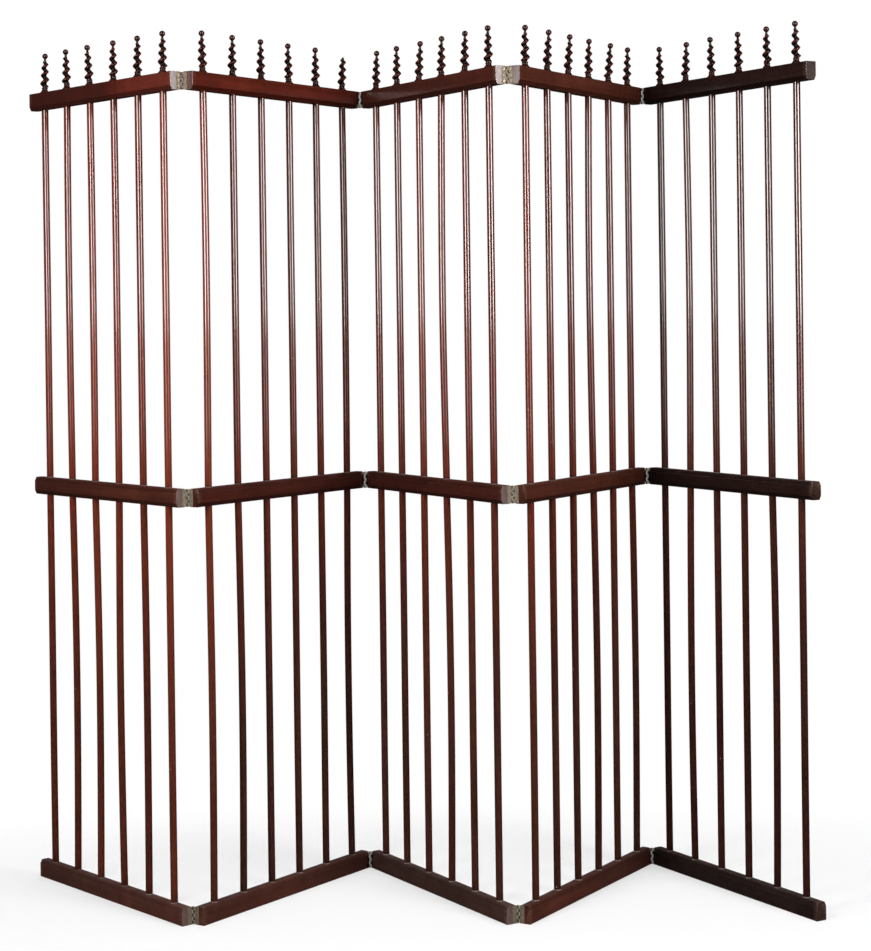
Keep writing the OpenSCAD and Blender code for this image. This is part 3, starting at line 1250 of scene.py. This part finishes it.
@dataclass(frozen=True)
class FinialSizes:
    """Sizes of a barley-twist finial, as in the frame's finials."""

    height: float = 87 * MM
    foot_d: float = 20 * MM
    foot_h: float = 10.5 * MM
    foot_lip: float = 1.4 * MM
    bead_d: float = 14 * MM
    bead_h: float = 2.2 * MM
    waist_d: float = 11.6 * MM
    strand_d: float = 15.2 * MM
    strand_top_d: float = 9.4 * MM
    swing: float = 3.3 * MM
    swing_top: float = 2.2 * MM
    turns: float = 3.6
    quicken: float = 0.15
    neck_d: float = 4.8 * MM
    neck_h: float = 3.6 * MM
    ball_d: float = 12.4 * MM
    tenon_d: float = 8 * MM
    tenon_l: float = 9 * MM
    run_in: float = 0.09

    @property
    def twist_z(self) -> float:
        """Height at which the twist starts."""
        return self.foot_h - 0.5 * MM

    @property
    def twist_h(self) -> float:
        """Height of the twist."""
        return self.height - self.ball_d - self.neck_h - self.twist_z


@dataclass
class Finials:
    """The row of turned finials on a panel's top rail.

    Args:
        place: The panel that they belong to.
        finish: Their wood and polish.
        places: Their places along the rail.
        turns: How far each is turned, in degrees.
        leans: How far the top of each leans to the right.
        broken: Number of the one that has lost its ball, or None.
        sizes: Their sizes.
        sides: Number of sides of the mesh.
        twist_rings: Number of stretches in a twist.
        ball_rows: Number of stretches in a ball.
        foot_rows: Number of stretches in a foot's flare and in its bead.
    """

    TURNED_WEAR = 0.3
    # A twist's outer ridge turns lighter with rubbing and a painted highlight, and its hollows darker with
    # soiling and painted shade.
    WEAR_FROM, WEAR_OVER = 0.86, 0.14
    GRIME_FROM, GRIME_OVER = 0.35, 0.45
    # Rings of the snapped stub: height at its low side, height at its high side, share of the neck's radius.
    SNAP = ((-2 * MM, -2 * MM, 1.0), (0.6 * MM, 1.6 * MM, 1.0),
            (0.9 * MM, 2.6 * MM, 0.8), (1.2 * MM, 3.3 * MM, 0.3))
    RAGGED = 0.35 * MM

    place: PanelPlace
    finish: Mahogany
    places: Sequence[float]
    turns: Sequence[float]
    leans: Sequence[float]
    broken: int | None
    sizes: FinialSizes = FinialSizes()
    sides: int = 28
    twist_rings: int = 120
    ball_rows: int = 18
    foot_rows: int = 10

    def build(self) -> Piece:
        """Builds the finials over their node.

        Returns:
            One object that holds the panel's finials.
        """
        node = self.place.node("finials")
        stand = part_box(self.place.node(Level.TOP.part))[1][2]
        skin = Skin()
        for number, (u, turn, lean) in enumerate(zip(self.places, self.turns, self.leans), 1):
            base = Vector((u, RAIL_THICK / 2, stand))
            tip = (lean * math.cos(self.place.heading), -lean * math.sin(self.place.heading))
            self.add_finial(skin, base, math.radians(turn) - self.place.heading, tip, number)
        piece = skin.finish(f"{node}_polished", self.place.matrix())
        piece.data.materials.append(self.finish.material())
        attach(piece, self.place.body)
        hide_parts(node)
        return piece

    def add_finial(self, skin: Skin, base: Vector, turn: float, lean: Point, number: int) -> None:
        """Adds one finial.

        Args:
            skin: The skin that it goes into.
            base: Where it stands, on the top of the rail.
            turn: How far it is turned about its axis, in radians.
            lean: How far its top leans along the rail and across it.
            number: Its number in the panel, which sets its small waves.
        """
        s = self.sizes

        def put(x: float, y: float, z: float) -> Vector:
            """A point of the finial, with the lean."""
            tilt = z / s.height
            return base + Vector((x + lean[0] * tilt, y + lean[1] * tilt, z))

        def lathe(profile: Sequence[Row]) -> None:
            """Adds a turned skin from rows of height, radius, and soiling with painted shade."""
            rings = []
            for z, r, grime in profile:
                points = [put(r * math.cos(a), r * math.sin(a), z) for a in round_turn(self.sides)]
                rings.append(skin.ring(points, self.TURNED_WEAR, grime))
            skin.join(rings)

        self.add_foot(lathe)
        self.add_twist(skin, put, turn, number)
        neck_z = s.twist_z + s.twist_h
        if number == self.broken:
            self.add_stub(skin, put, neck_z)
        else:
            self.add_ball(lathe, neck_z)

    def add_ball(self, lathe: Lathe, neck_z: float) -> None:
        """Adds the thin neck and the ball.

        Args:
            lathe: Adds a turned skin from rows of height, radius, and soiling with painted shade.
            neck_z: Height at which the neck starts.
        """
        s = self.sizes
        top, thin = neck_z + s.neck_h, s.neck_d / 2
        # The neck is darker with soiling and painted shade.
        lathe([(neck_z - 3 * MM, thin + 0.9 * MM, 0.6), (neck_z, thin + 0.35 * MM, 0.8),
               (neck_z + 1.2 * MM, thin, 0.9), (top - 0.4 * MM, thin, 0.9),
               (top + 0.8 * MM, thin + 0.6 * MM, 0.6)])
        centre, r = s.height - s.ball_d / 2, s.ball_d / 2
        # Painted shade darkens the lower part of the ball.
        ball = []
        for n in range(self.ball_rows + 1):
            share = n / self.ball_rows
            z, out = centre - r * math.cos(math.pi * share), r * math.sin(math.pi * share)
            ball.append((z, max(out, 0.02 * MM), 0.5 * ramp(1 - 3 * share)))
        lathe(ball)

    def add_foot(self, lathe: Lathe) -> None:
        """Adds the tenon and the flared foot with its lip and its bead.

        Args:
            lathe: Adds a turned skin from rows of height, radius, and soiling with painted shade.
        """
        s = self.sizes
        lip = s.foot_d / 2
        # The foot is darker where it meets the rail and in the creases round its bead: soiling and painted
        # shade.
        rows = [(-s.tenon_l, s.tenon_d / 2 - 0.5 * MM, 0.0), (-s.tenon_l + 0.5 * MM, s.tenon_d / 2, 0.0),
                (0.0, s.tenon_d / 2, 0.9), (0.0, lip - 0.7 * MM, 0.9), (0.3 * MM, lip - 0.2 * MM, 0.5),
                (0.7 * MM, lip, 0.1), (1.1 * MM, lip - 0.15 * MM, 0.1), (s.foot_lip, lip - 0.6 * MM, 0.6)]
        bead_z = s.foot_h - s.bead_h
        shares = [n / self.foot_rows for n in range(1, self.foot_rows + 1)]
        for share in shares:
            r = blend(lip - 0.6 * MM, s.waist_d / 2, 1 - (1 - share) ** 2)
            rows.append((blend(s.foot_lip, bead_z, share), r, 0.5 * share))
        for a in (math.pi * share for share in shares):
            r = blend(s.waist_d, s.bead_d, math.sin(a)) / 2
            rows.append((bead_z + s.bead_h * (1 - math.cos(a)) / 2, r, 0.6 * (1 - math.sin(a))))
        lathe(rows)

    def add_twist(self, skin: Skin, put: Put, turn: float, number: int) -> None:
        """Adds the single strand that winds up round the axis.

        Args:
            skin: The skin that it goes into.
            put: Places a point of the finial.
            turn: How far the finial is turned, in radians.
            number: The finial's number, which sets its small waves.
        """
        s = self.sizes
        rings = []
        for n in range(self.twist_rings + 1):
            share = n / self.twist_rings
            inner, leave = ramp((1 - share) / s.run_in), ramp(share / s.run_in)
            wind = turn + 2 * math.pi * s.turns * share * (1 + s.quicken * share) / (1 + s.quicken)
            off = blend(s.swing, s.swing_top, share) * leave * inner
            full = blend(s.waist_d / 2 - 0.3 * MM, blend(s.strand_d, s.strand_top_d, share) / 2, leave)
            r = blend(s.neck_d / 2 + 0.6 * MM, full, inner) * (1 + 0.02 * wander(share * 9, number, 2.5))
            points, wear, grime = [], [], []
            for a in round_turn(self.sides):
                x, y = off * math.cos(wind) + r * math.cos(a), off * math.sin(wind) + r * math.sin(a)
                points.append(put(x, y, s.twist_z + s.twist_h * share))
                # The outer ridge: rubbing and painted highlight; the hollows: soiling and painted shade.
                reach = math.hypot(x, y) / (off + r)
                wear.append(ramp((reach - self.WEAR_FROM) / self.WEAR_OVER))
                grime.append(1.0 - ramp((reach - self.GRIME_FROM) / self.GRIME_OVER))
            rings.append(skin.ring(points, wear, grime))
        skin.join(rings)

    def add_stub(self, skin: Skin, put: Put, neck_z: float) -> None:
        """Adds the ragged stub of a neck that has snapped on the slant.

        Args:
            skin: The skin that it goes into.
            put: Places a point of the finial.
            neck_z: Height at which the neck starts.
        """
        s = self.sizes
        r = s.neck_d / 2
        rings = []
        for low, high, size in self.SNAP:
            points = []
            for a in round_turn(self.sides):
                rise = blend(low, high, 0.5 + 0.5 * math.cos(a))
                ragged = self.RAGGED * wander(6 * math.cos(a), 6 * math.sin(a), low / MM) if low > 0 else 0.0
                off = r * (size * math.cos(a) + 0.6 * (1 - size))
                points.append(put(off, r * size * math.sin(a), neck_z + rise + ragged))
            rings.append(skin.ring(points, 0.2 if size == 1.0 else 1.0, 0.0))
        skin.join(rings)


# ---- The hinges ---------------------------------------------------------------------------------------


@dataclass
class Brassware:
    """Hinge leaves, pins and screws: the frame's own solids with softened edges and old brass.

    Args:
        soft_edge: Width of the softened edges.
        sharp: Angle in degrees above which an edge is softened.
        weld: Distance within which vertices are joined first.
    """

    soft_edge: float = 0.18 * MM
    sharp: float = 50.0
    weld: float = 0.004 * MM

    def dress(self) -> list[Piece]:
        """Softens and paints every brass node.

        Returns:
            The dressed nodes.
        """
        hole, places = srgb(50, 42, 34), self.pin_places()
        rear = OldBrass("brass_of_the_rear_leaves", srgb(144, 130, 108), srgb(106, 95, 80), hole, 2.4,
                        dull=0.6, shine=0.08, plain_gloss=0.05, pins=places)
        # The front leaves are painted lighter than the rear ones: a painted highlight on the barrels at the
        # front, whose flanks get painted shade.
        front = OldBrass("brass_of_the_front_leaves", srgb(206, 194, 180), srgb(176, 164, 150), hole, 3.3,
                         dull=0.4, shine=0.1, pitted=0.3, plain_gloss=0.1, pins=places, rubbed_crown=True)
        pins = OldBrass("brass_of_the_pins", srgb(214, 196, 158), srgb(160, 146, 116), hole, 5.1, dull=0.3)
        screws = OldBrass("brass_of_the_screws", srgb(134, 118, 98), srgb(92, 80, 66), srgb(36, 30, 24), 7.7,
                          dull=0.6)
        leaf_paints, pin_paint = (front.material(), rear.material()), pins.material()
        screw_paint = screws.material()
        done = []
        for k in range(1, FOLD_COUNT + 1):
            for side in ("left", "right"):
                done.append(self.paint(f"hinge_{k}_{side}_leaves", leaf_paints[k % 2]))
            done.append(self.paint(f"hinge_{k}_pins", pin_paint))
        for i in range(1, PANEL_COUNT + 1):
            done.append(self.paint(f"panel_{i}_hinge_screws", screw_paint))
        return done

    def pin_places(self) -> tuple[Point, ...]:
        """Place of each fold's pins, seen from above."""
        boxes = (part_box(f"hinge_{k}_pins") for k in range(1, FOLD_COUNT + 1))
        return tuple(((low[0] + high[0]) / 2, (low[1] + high[1]) / 2) for low, high in boxes)

    def paint(self, node: str, paint: bpy.types.Material) -> Piece:
        """Softens one node's edges and gives it its brass.

        Args:
            node: Name of the node.
            paint: Its material.

        Returns:
            The node's object.
        """
        piece = bpy.data.objects[node]
        piece.data.materials.clear()
        piece.data.materials.append(paint)
        weld = piece.modifiers.new("weld", "WELD")
        weld.merge_threshold = self.weld
        soft = piece.modifiers.new("soft_edges", "BEVEL")
        soft.width = self.soft_edge
        soft.segments = 2
        soft.limit_method = "ANGLE"
        soft.angle_limit = math.radians(self.sharp)
        soft.use_clamp_overlap = True
        return piece


# ---- The whole screen ---------------------------------------------------------------------------------


class Tone(Enum):
    """How light and how red the stain of a piece is, as a screen colour."""

    BLACKENED = (38, 21, 17)
    UMBER = (46, 23, 18)
    DARK = (54, 26, 20)
    BROWN = (66, 38, 29)
    PLAIN = (74, 31, 22)
    RUSSET = (84, 40, 28)
    RED = (98, 37, 25)
    WARM = (118, 46, 29)

    def body(self) -> Colour:
        """Main colour of the stain in this tone."""
        return srgb(*self.value)


@dataclass
class RodScreen:
    """The whole screen: five panels of rails, rods and finials, and the brass between them.

    What is given by panel runs from panel 1 at the left to panel 5, and what is given by rod or by finial
    runs from the left end of its panel. Turns are in degrees and leans in millimetres.
    """

    pitch: float = 94 * MM
    rod_count: int = 6
    rail_tones: dict[Level, tuple[Tone, ...]] = field(default_factory=lambda: {
        Level.TOP: (Tone.RED, Tone.RED, Tone.PLAIN, Tone.RUSSET, Tone.BLACKENED),
        Level.MIDDLE: (Tone.RUSSET, Tone.PLAIN, Tone.PLAIN, Tone.RUSSET, Tone.BLACKENED),
        Level.BOTTOM: (Tone.RUSSET, Tone.RUSSET, Tone.BROWN, Tone.RUSSET, Tone.BLACKENED),
    })
    rail_films: dict[Level, tuple[float, ...]] = field(default_factory=lambda: {
        Level.TOP: (0.02, 0.003, 0.015, 0.006, 0.006),
        Level.MIDDLE: (0.015,) * PANEL_COUNT,
        Level.BOTTOM: (0.07, 0.05, 0.06, 0.035, 0.035),
    })
    # Painted sheen on the end wood, at the left and at the right end of each rail listed.
    blooms: dict[tuple[int, Level], tuple[float, float]] = field(default_factory=lambda: {
        (1, Level.TOP): (0.0, 0.9), (2, Level.TOP): (0.15, 0.0), (3, Level.TOP): (0.0, 1.0),
        (4, Level.TOP): (0.6, 0.0), (5, Level.TOP): (0.0, 0.08),
        (1, Level.MIDDLE): (0.0, 0.25), (3, Level.MIDDLE): (0.0, 0.25),
        (1, Level.BOTTOM): (0.0, 0.2), (3, Level.BOTTOM): (0.0, 0.2),
    })
    # Painted shade at the end of each rail that lies at the back: the inner folds and panel 1's free end.
    valley_dark: float = 0.6
    patched_at: float = 350 * MM
    rod_tones: tuple[Tone, ...] = (Tone.RUSSET, Tone.BROWN, Tone.BROWN, Tone.BROWN, Tone.DARK)
    # Tones of the painted light up each panel's rods.
    rod_glows: tuple[Tone, ...] = (Tone.WARM, Tone.RED, Tone.RED, Tone.RED, Tone.RUSSET)
    rod_polish: tuple[float, ...] = (1.45, 1.5, 1.52, 1.48, 1.55)
    rod_tints: tuple[tuple[float, ...], ...] = (
        (-0.2, 0.0, 0.5, 0.2, -0.4, 0.7),
        (1.0, 0.0, 0.0, -0.3, 0.0, -0.4),
        (0.0, -0.2, 0.5, 0.4, 0.2, 0.0),
        (0.5, 0.0, -0.2, -0.3, 0.0, -0.2),
        (-0.5, 0.2, 0.0, 0.0, -0.3, 0.0),
    )
    turned_tones: tuple[Tone, ...] = (Tone.UMBER, Tone.UMBER, Tone.UMBER, Tone.UMBER, Tone.BLACKENED)
    finial_turns: tuple[tuple[float, ...], ...] = (
        (350, 50, 60, 150, 290, 290),
        (185, 290, 325, 140, 65, 0),
        (190, 35, 315, 75, 245, 10),
        (150, 260, 320, 165, 90, 10),
        (170, 25, 285, 85, 190, 270),
    )
    finial_leans: tuple[tuple[float, ...], ...] = (
        (2, -2, -5, 0, 0, 0),
        (-1, 1, 0, -1, 0, 4),
        (3, 0, 4.5, 2, 2, -1),
        (1.5, 5.5, 5.5, 3, 7, 2.5),
        (-1, 3, -3, -2, -1, -2),
    )
    broken: tuple[int, int] = (2, 6)
    bows: dict[tuple[int, int], Bow] = field(default_factory=lambda: {
        (1, 2): Bow(low=3.8 * MM, high=-1.5 * MM), (1, 3): Bow(low=3.5 * MM, high=1 * MM),
        (1, 4): Bow(low=-2.8 * MM, high=1 * MM), (1, 5): Bow(low=1.9 * MM),
        (2, 1): Bow(low=2 * MM, high=2 * MM), (2, 2): Bow(low=3.1 * MM),
        (2, 6): Bow(low=-2.6 * MM, high=1.2 * MM), (3, 4): Bow(low=3.4 * MM, high=-3.4 * MM),
        (4, 4): Bow(low=3.3 * MM, high=-3 * MM), (4, 6): Bow(low=2.9 * MM),
        (5, 2): Bow(low=-2.8 * MM, high=2.8 * MM), (5, 5): Bow(low=3.7 * MM),
    })

    def build(self) -> None:
        """Builds every piece and reports it."""
        first = (RAIL_LENGTH - (self.rod_count - 1) * self.pitch) / 2
        places = [first + n * self.pitch for n in range(self.rod_count)]
        for number in range(1, PANEL_COUNT + 1):
            self.build_panel(number, places)
        for piece in Brassware().dress():
            report(piece)

    def build_panel(self, number: int, places: Sequence[float]) -> None:
        """Builds the wood of one panel and reports it.

        Args:
            number: Panel number.
            places: Places of the rods and finials along a rail.
        """
        place = PanelPlace.read(number)
        LOG.info("panel %d heads %.1f degrees", number, math.degrees(place.heading))
        for order, level in enumerate(Level):
            report(Rail(place, level, self.rail_finish(number, level, order), places).build())
        bows = [self.bows.get((number, rod), Bow()) for rod in range(1, self.rod_count + 1)]
        report(Rods(place, self.rod_finish(number), places, bows, self.rod_tints[number - 1]).build())
        leans = [lean * MM for lean in self.finial_leans[number - 1]]
        broken = self.broken[1] if self.broken[0] == number else None
        turns = self.finial_turns[number - 1]
        report(Finials(place, self.turned_finish(number), places, turns, leans, broken).build())

    def rail_finish(self, number: int, level: Level, order: int) -> Mahogany:
        """Finish of one rail.

        Args:
            number: Panel number.
            level: Which rail.
            order: Place of the level in the panel, which moves the pattern.

        Returns:
            The finish.
        """
        body = self.rail_tones[level][number - 1].body()
        # Odd panels take the painted shade at their left end, even panels at their right end.
        ends = (self.valley_dark, 0.0) if number % 2 else (0.0, self.valley_dark)
        return Mahogany(f"mahogany_panel_{number}_{level.part}", body, scaled(body, 0.5), srgb(122, 88, 74),
                        Grain.ALONG_RAIL, number * 2.3 + order * 7.1, dark_ends=ends,
                        dark_until=self.patched_at if (number, level) == (1, Level.TOP) else None,
                        film=self.rail_films[level][number - 1],
                        bloom=self.blooms.get((number, level), (0.0, 0.0)))

    def rod_finish(self, number: int) -> Mahogany:
        """Finish of one panel's rods."""
        # The rods' rubbed colour is also the colour of their painted light.
        body, glow = self.rod_tones[number - 1].body(), self.rod_glows[number - 1].body()
        return Mahogany(f"mahogany_panel_{number}_rods", body, scaled(body, 0.5), scaled(glow, 1.15),
                        Grain.ALONG_ROD, number * 3.1, gloss=1.0, rough=0.3, bright=(0.35, 1.15),
                        coat_ior=self.rod_polish[number - 1], coat_rough=0.12, chips=True, ripple=0.05 * MM)

    def turned_finish(self, number: int) -> Mahogany:
        """Finish of one panel's finials."""
        # The rubbed colour also serves as the painted highlight on the ridges, and the dark colour as the
        # painted shade in the hollows.
        body = self.turned_tones[number - 1].body()
        return Mahogany(f"mahogany_panel_{number}_finials", body, scaled(body, 0.22), srgb(106, 44, 30),
                        Grain.TURNED, number * 4.7, gloss=0.3, rough=0.24, coat_ior=1.45, coat_rough=0.12,
                        ripple=0.10 * MM)


def report(piece: Piece) -> None:
    """Logs one finished piece."""
    LOG.info("%s: %d faces on %s", piece.name, len(piece.data.polygons), body_of(piece))


# ---- Floor, lights and camera -------------------------------------------------------------------------


@dataclass(frozen=True)
class Lamp:
    """A rectangular lamp.

    Args:
        name: Its name.
        at: Its place.
        aim: The point that it faces.
        size: Its width and height.
        power: Its power in watts.
        lights: Whether it lights matt surfaces.
        mirrored: Whether the polish mirrors it.
    """

    name: str
    at: Vector
    aim: Vector
    size: tuple[float, float]
    power: float
    lights: bool = True
    mirrored: bool = False

    def build(self) -> None:
        """Adds the lamp, unseen by the camera."""
        data = bpy.data.lights.new(self.name, "AREA")
        data.shape = "RECTANGLE"
        data.size, data.size_y = self.size
        data.energy = self.power
        lamp = bpy.data.objects.new(self.name, data)
        lamp.location = self.at
        lamp.rotation_euler = (self.aim - self.at).to_track_quat("-Z", "Y").to_euler()
        lamp.visible_diffuse, lamp.visible_glossy, lamp.visible_camera = self.lights, self.mirrored, False
        bpy.context.scene.collection.objects.link(lamp)


class Side(Enum):
    """The sides that the screen is lit from: name, place across and in depth, power in watts."""

    LEFT = ("left", -1.5, -2.15, 58.0)
    RIGHT = ("right", 1.85, -1.7, 56.0)


@dataclass
class Studio:
    """Plain white studio: pale floor, a soft box on each side, a top and a back lamp, and the camera.

    The soft boxes don't show in the polish. A glint lamp just behind each shows there and nowhere else.

    Args:
        floor_size: Length of the floor's sides.
        camera_at: Place of the camera.
        pitch: How far the camera looks down, in degrees.
        roll: How far the camera is tilted to its side, in degrees.
        lens: Focal length, in the same unit as film_width.
        film_width: Width of the camera's film.
        shift_up: Shift of the film, as a share of its longer side.
        around: How light the world is for the matt surfaces.
        dim: How light the world is in the polish.
        behind: How light the backdrop is in the polish.
        backdrop_edge: Share of the direction to the back over which the backdrop starts.
        high_aim: Height that the side lamps face.
        low_aim: Height that the low glint lamps and the back lamp face.
        box_height: Height of the middle of a soft box.
        box_size: Width and height of a soft box.
        glint_back: Distance of a glint lamp from the screen, as a multiple of its box's.
        glint_size: Width and height of a glint lamp.
        glint_power: Power of a glint lamp in watts.
        low_glint_height: Height of the middle of a low glint lamp.
        low_glint_size: Width and height of a low glint lamp.
        low_glint_share: Its power as a share of the glint lamp's.
        top_at: Place of the top lamp.
        top_size: Width and length of the top lamp.
        top_power: Power of the top lamp in watts.
        back_at: Place of the back lamp.
        back_size: Width and height of the back lamp.
        back_power: Power of the back lamp in watts.
    """

    floor_size: float = 30.0
    camera_at: Triple = (0.059723, -4.701658, 1.23299)
    pitch: float = 0.3254
    roll: float = 0.769
    lens: float = 83.28
    film_width: float = 36.0
    shift_up: float = -0.1521
    around: float = 0.24
    dim: float = 0.03
    behind: float = 0.03
    backdrop_edge: Span = (0.90, 0.97)
    high_aim: float = 1.9
    low_aim: float = 0.9
    box_height: float = 2.35
    box_size: tuple[float, float] = (0.8, 2.3)
    glint_back: float = 1.02
    glint_size: tuple[float, float] = (0.9, 2.3)
    glint_power: float = 235.0
    low_glint_height: float = 1.05
    low_glint_size: tuple[float, float] = (0.9, 0.4)
    low_glint_share: float = 0.035
    top_at: Triple = (0.0, 0.2, 4.6)
    top_size: tuple[float, float] = (4.0, 3.0)
    top_power: float = 50.0
    back_at: Triple = (0.3, 3.4, 2.1)
    back_size: tuple[float, float] = (2.6, 1.8)
    back_power: float = 18.0

    def build(self) -> None:
        """Builds the floor, the world, the lights and the camera."""
        self.add_floor()
        self.set_world()
        low = Vector((0.0, 0.0, self.low_aim))
        top = Lamp("top_light", Vector(self.top_at), Vector(), self.top_size, self.top_power)
        back = Lamp("back_fill", Vector(self.back_at), low, self.back_size, self.back_power)
        for lamp in (*self.side_lamps(Side.LEFT), *self.side_lamps(Side.RIGHT), top, back):
            lamp.build()
        self.set_camera()
        bpy.context.scene.view_settings.view_transform = "Standard"

    def side_lamps(self, side: Side) -> list[Lamp]:
        """The soft box of one side and its two glint lamps.

        Args:
            side: The side of the screen.

        Returns:
            The three lamps.
        """
        name, x, y, power = side.value
        high, low = Vector((0.0, 0.0, self.high_aim)), Vector((0.0, 0.0, self.low_aim))
        at = Vector((x, y, self.box_height))
        back, foot = high + self.glint_back * (at - high), Vector((x, y, self.low_glint_height))
        faint = self.low_glint_share * self.glint_power
        return [
            Lamp(f"{name}_box", at, high, self.box_size, power),
            Lamp(f"{name}_glint", back, high, self.glint_size, self.glint_power, lights=False, mirrored=True),
            Lamp(f"{name}_low_glint", foot, low, self.low_glint_size, faint, lights=False, mirrored=True),
        ]

    def add_floor(self) -> None:
        """Adds the floor at height 0."""
        shape = bmesh.new()
        bmesh.ops.create_grid(shape, x_segments=2, y_segments=2, size=self.floor_size / 2)
        data = bpy.data.meshes.new("floor")
        shape.to_mesh(data)
        shape.free()
        floor = bpy.data.objects.new("floor", data)
        bpy.context.scene.collection.objects.link(floor)
        data.materials.append(PaleFloor().material())

    def set_world(self) -> None:
        """Sets a backdrop that is white to the camera, faint in the polish, and dim light elsewhere."""
        world = bpy.data.worlds.new("studio")
        world.use_nodes = True
        bpy.context.scene.world = world
        board = Board(world.node_tree)
        toward = board.output("ShaderNodeTexCoord", "Generated")
        backdrop = board.parts(toward)[1].rise(*self.backdrop_edge) * self.behind
        glossy = Value(board, board.output("ShaderNodeLightPath", "Is Glossy Ray"))
        camera = Value(board, board.output("ShaderNodeLightPath", "Is Camera Ray"))
        colour = board.mix(glossy, grey(self.around), grey(self.dim))
        colour = board.mix(camera.larger(glossy * backdrop), colour, grey(1.0))
        sky = board.node("ShaderNodeBackground", {}, {"Color": colour, "Strength": 1.0})
        board.node("ShaderNodeOutputWorld", {}, {"Surface": sky.outputs[0]})

    def set_camera(self) -> None:
        """Adds the camera at the photograph's place."""
        data = bpy.data.cameras.new("camera")
        data.lens = self.lens
        data.sensor_width = self.film_width
        data.shift_y = self.shift_up
        camera = bpy.data.objects.new("camera", data)
        level = Matrix.Rotation(math.radians(90 - self.pitch), 4, "X")
        tilt = Matrix.Rotation(math.radians(-self.roll), 4, "Z")
        camera.matrix_world = Matrix.Translation(self.camera_at) @ level @ tilt
        bpy.context.scene.collection.objects.link(camera)
        bpy.context.scene.camera = camera


def main() -> None:
    """Builds the screen and the studio."""
    logging.basicConfig(level=logging.INFO, format="%(name)s: %(message)s")
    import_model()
    RodScreen().build()
    Studio().build()


if __name__ == "__main__":
    main()
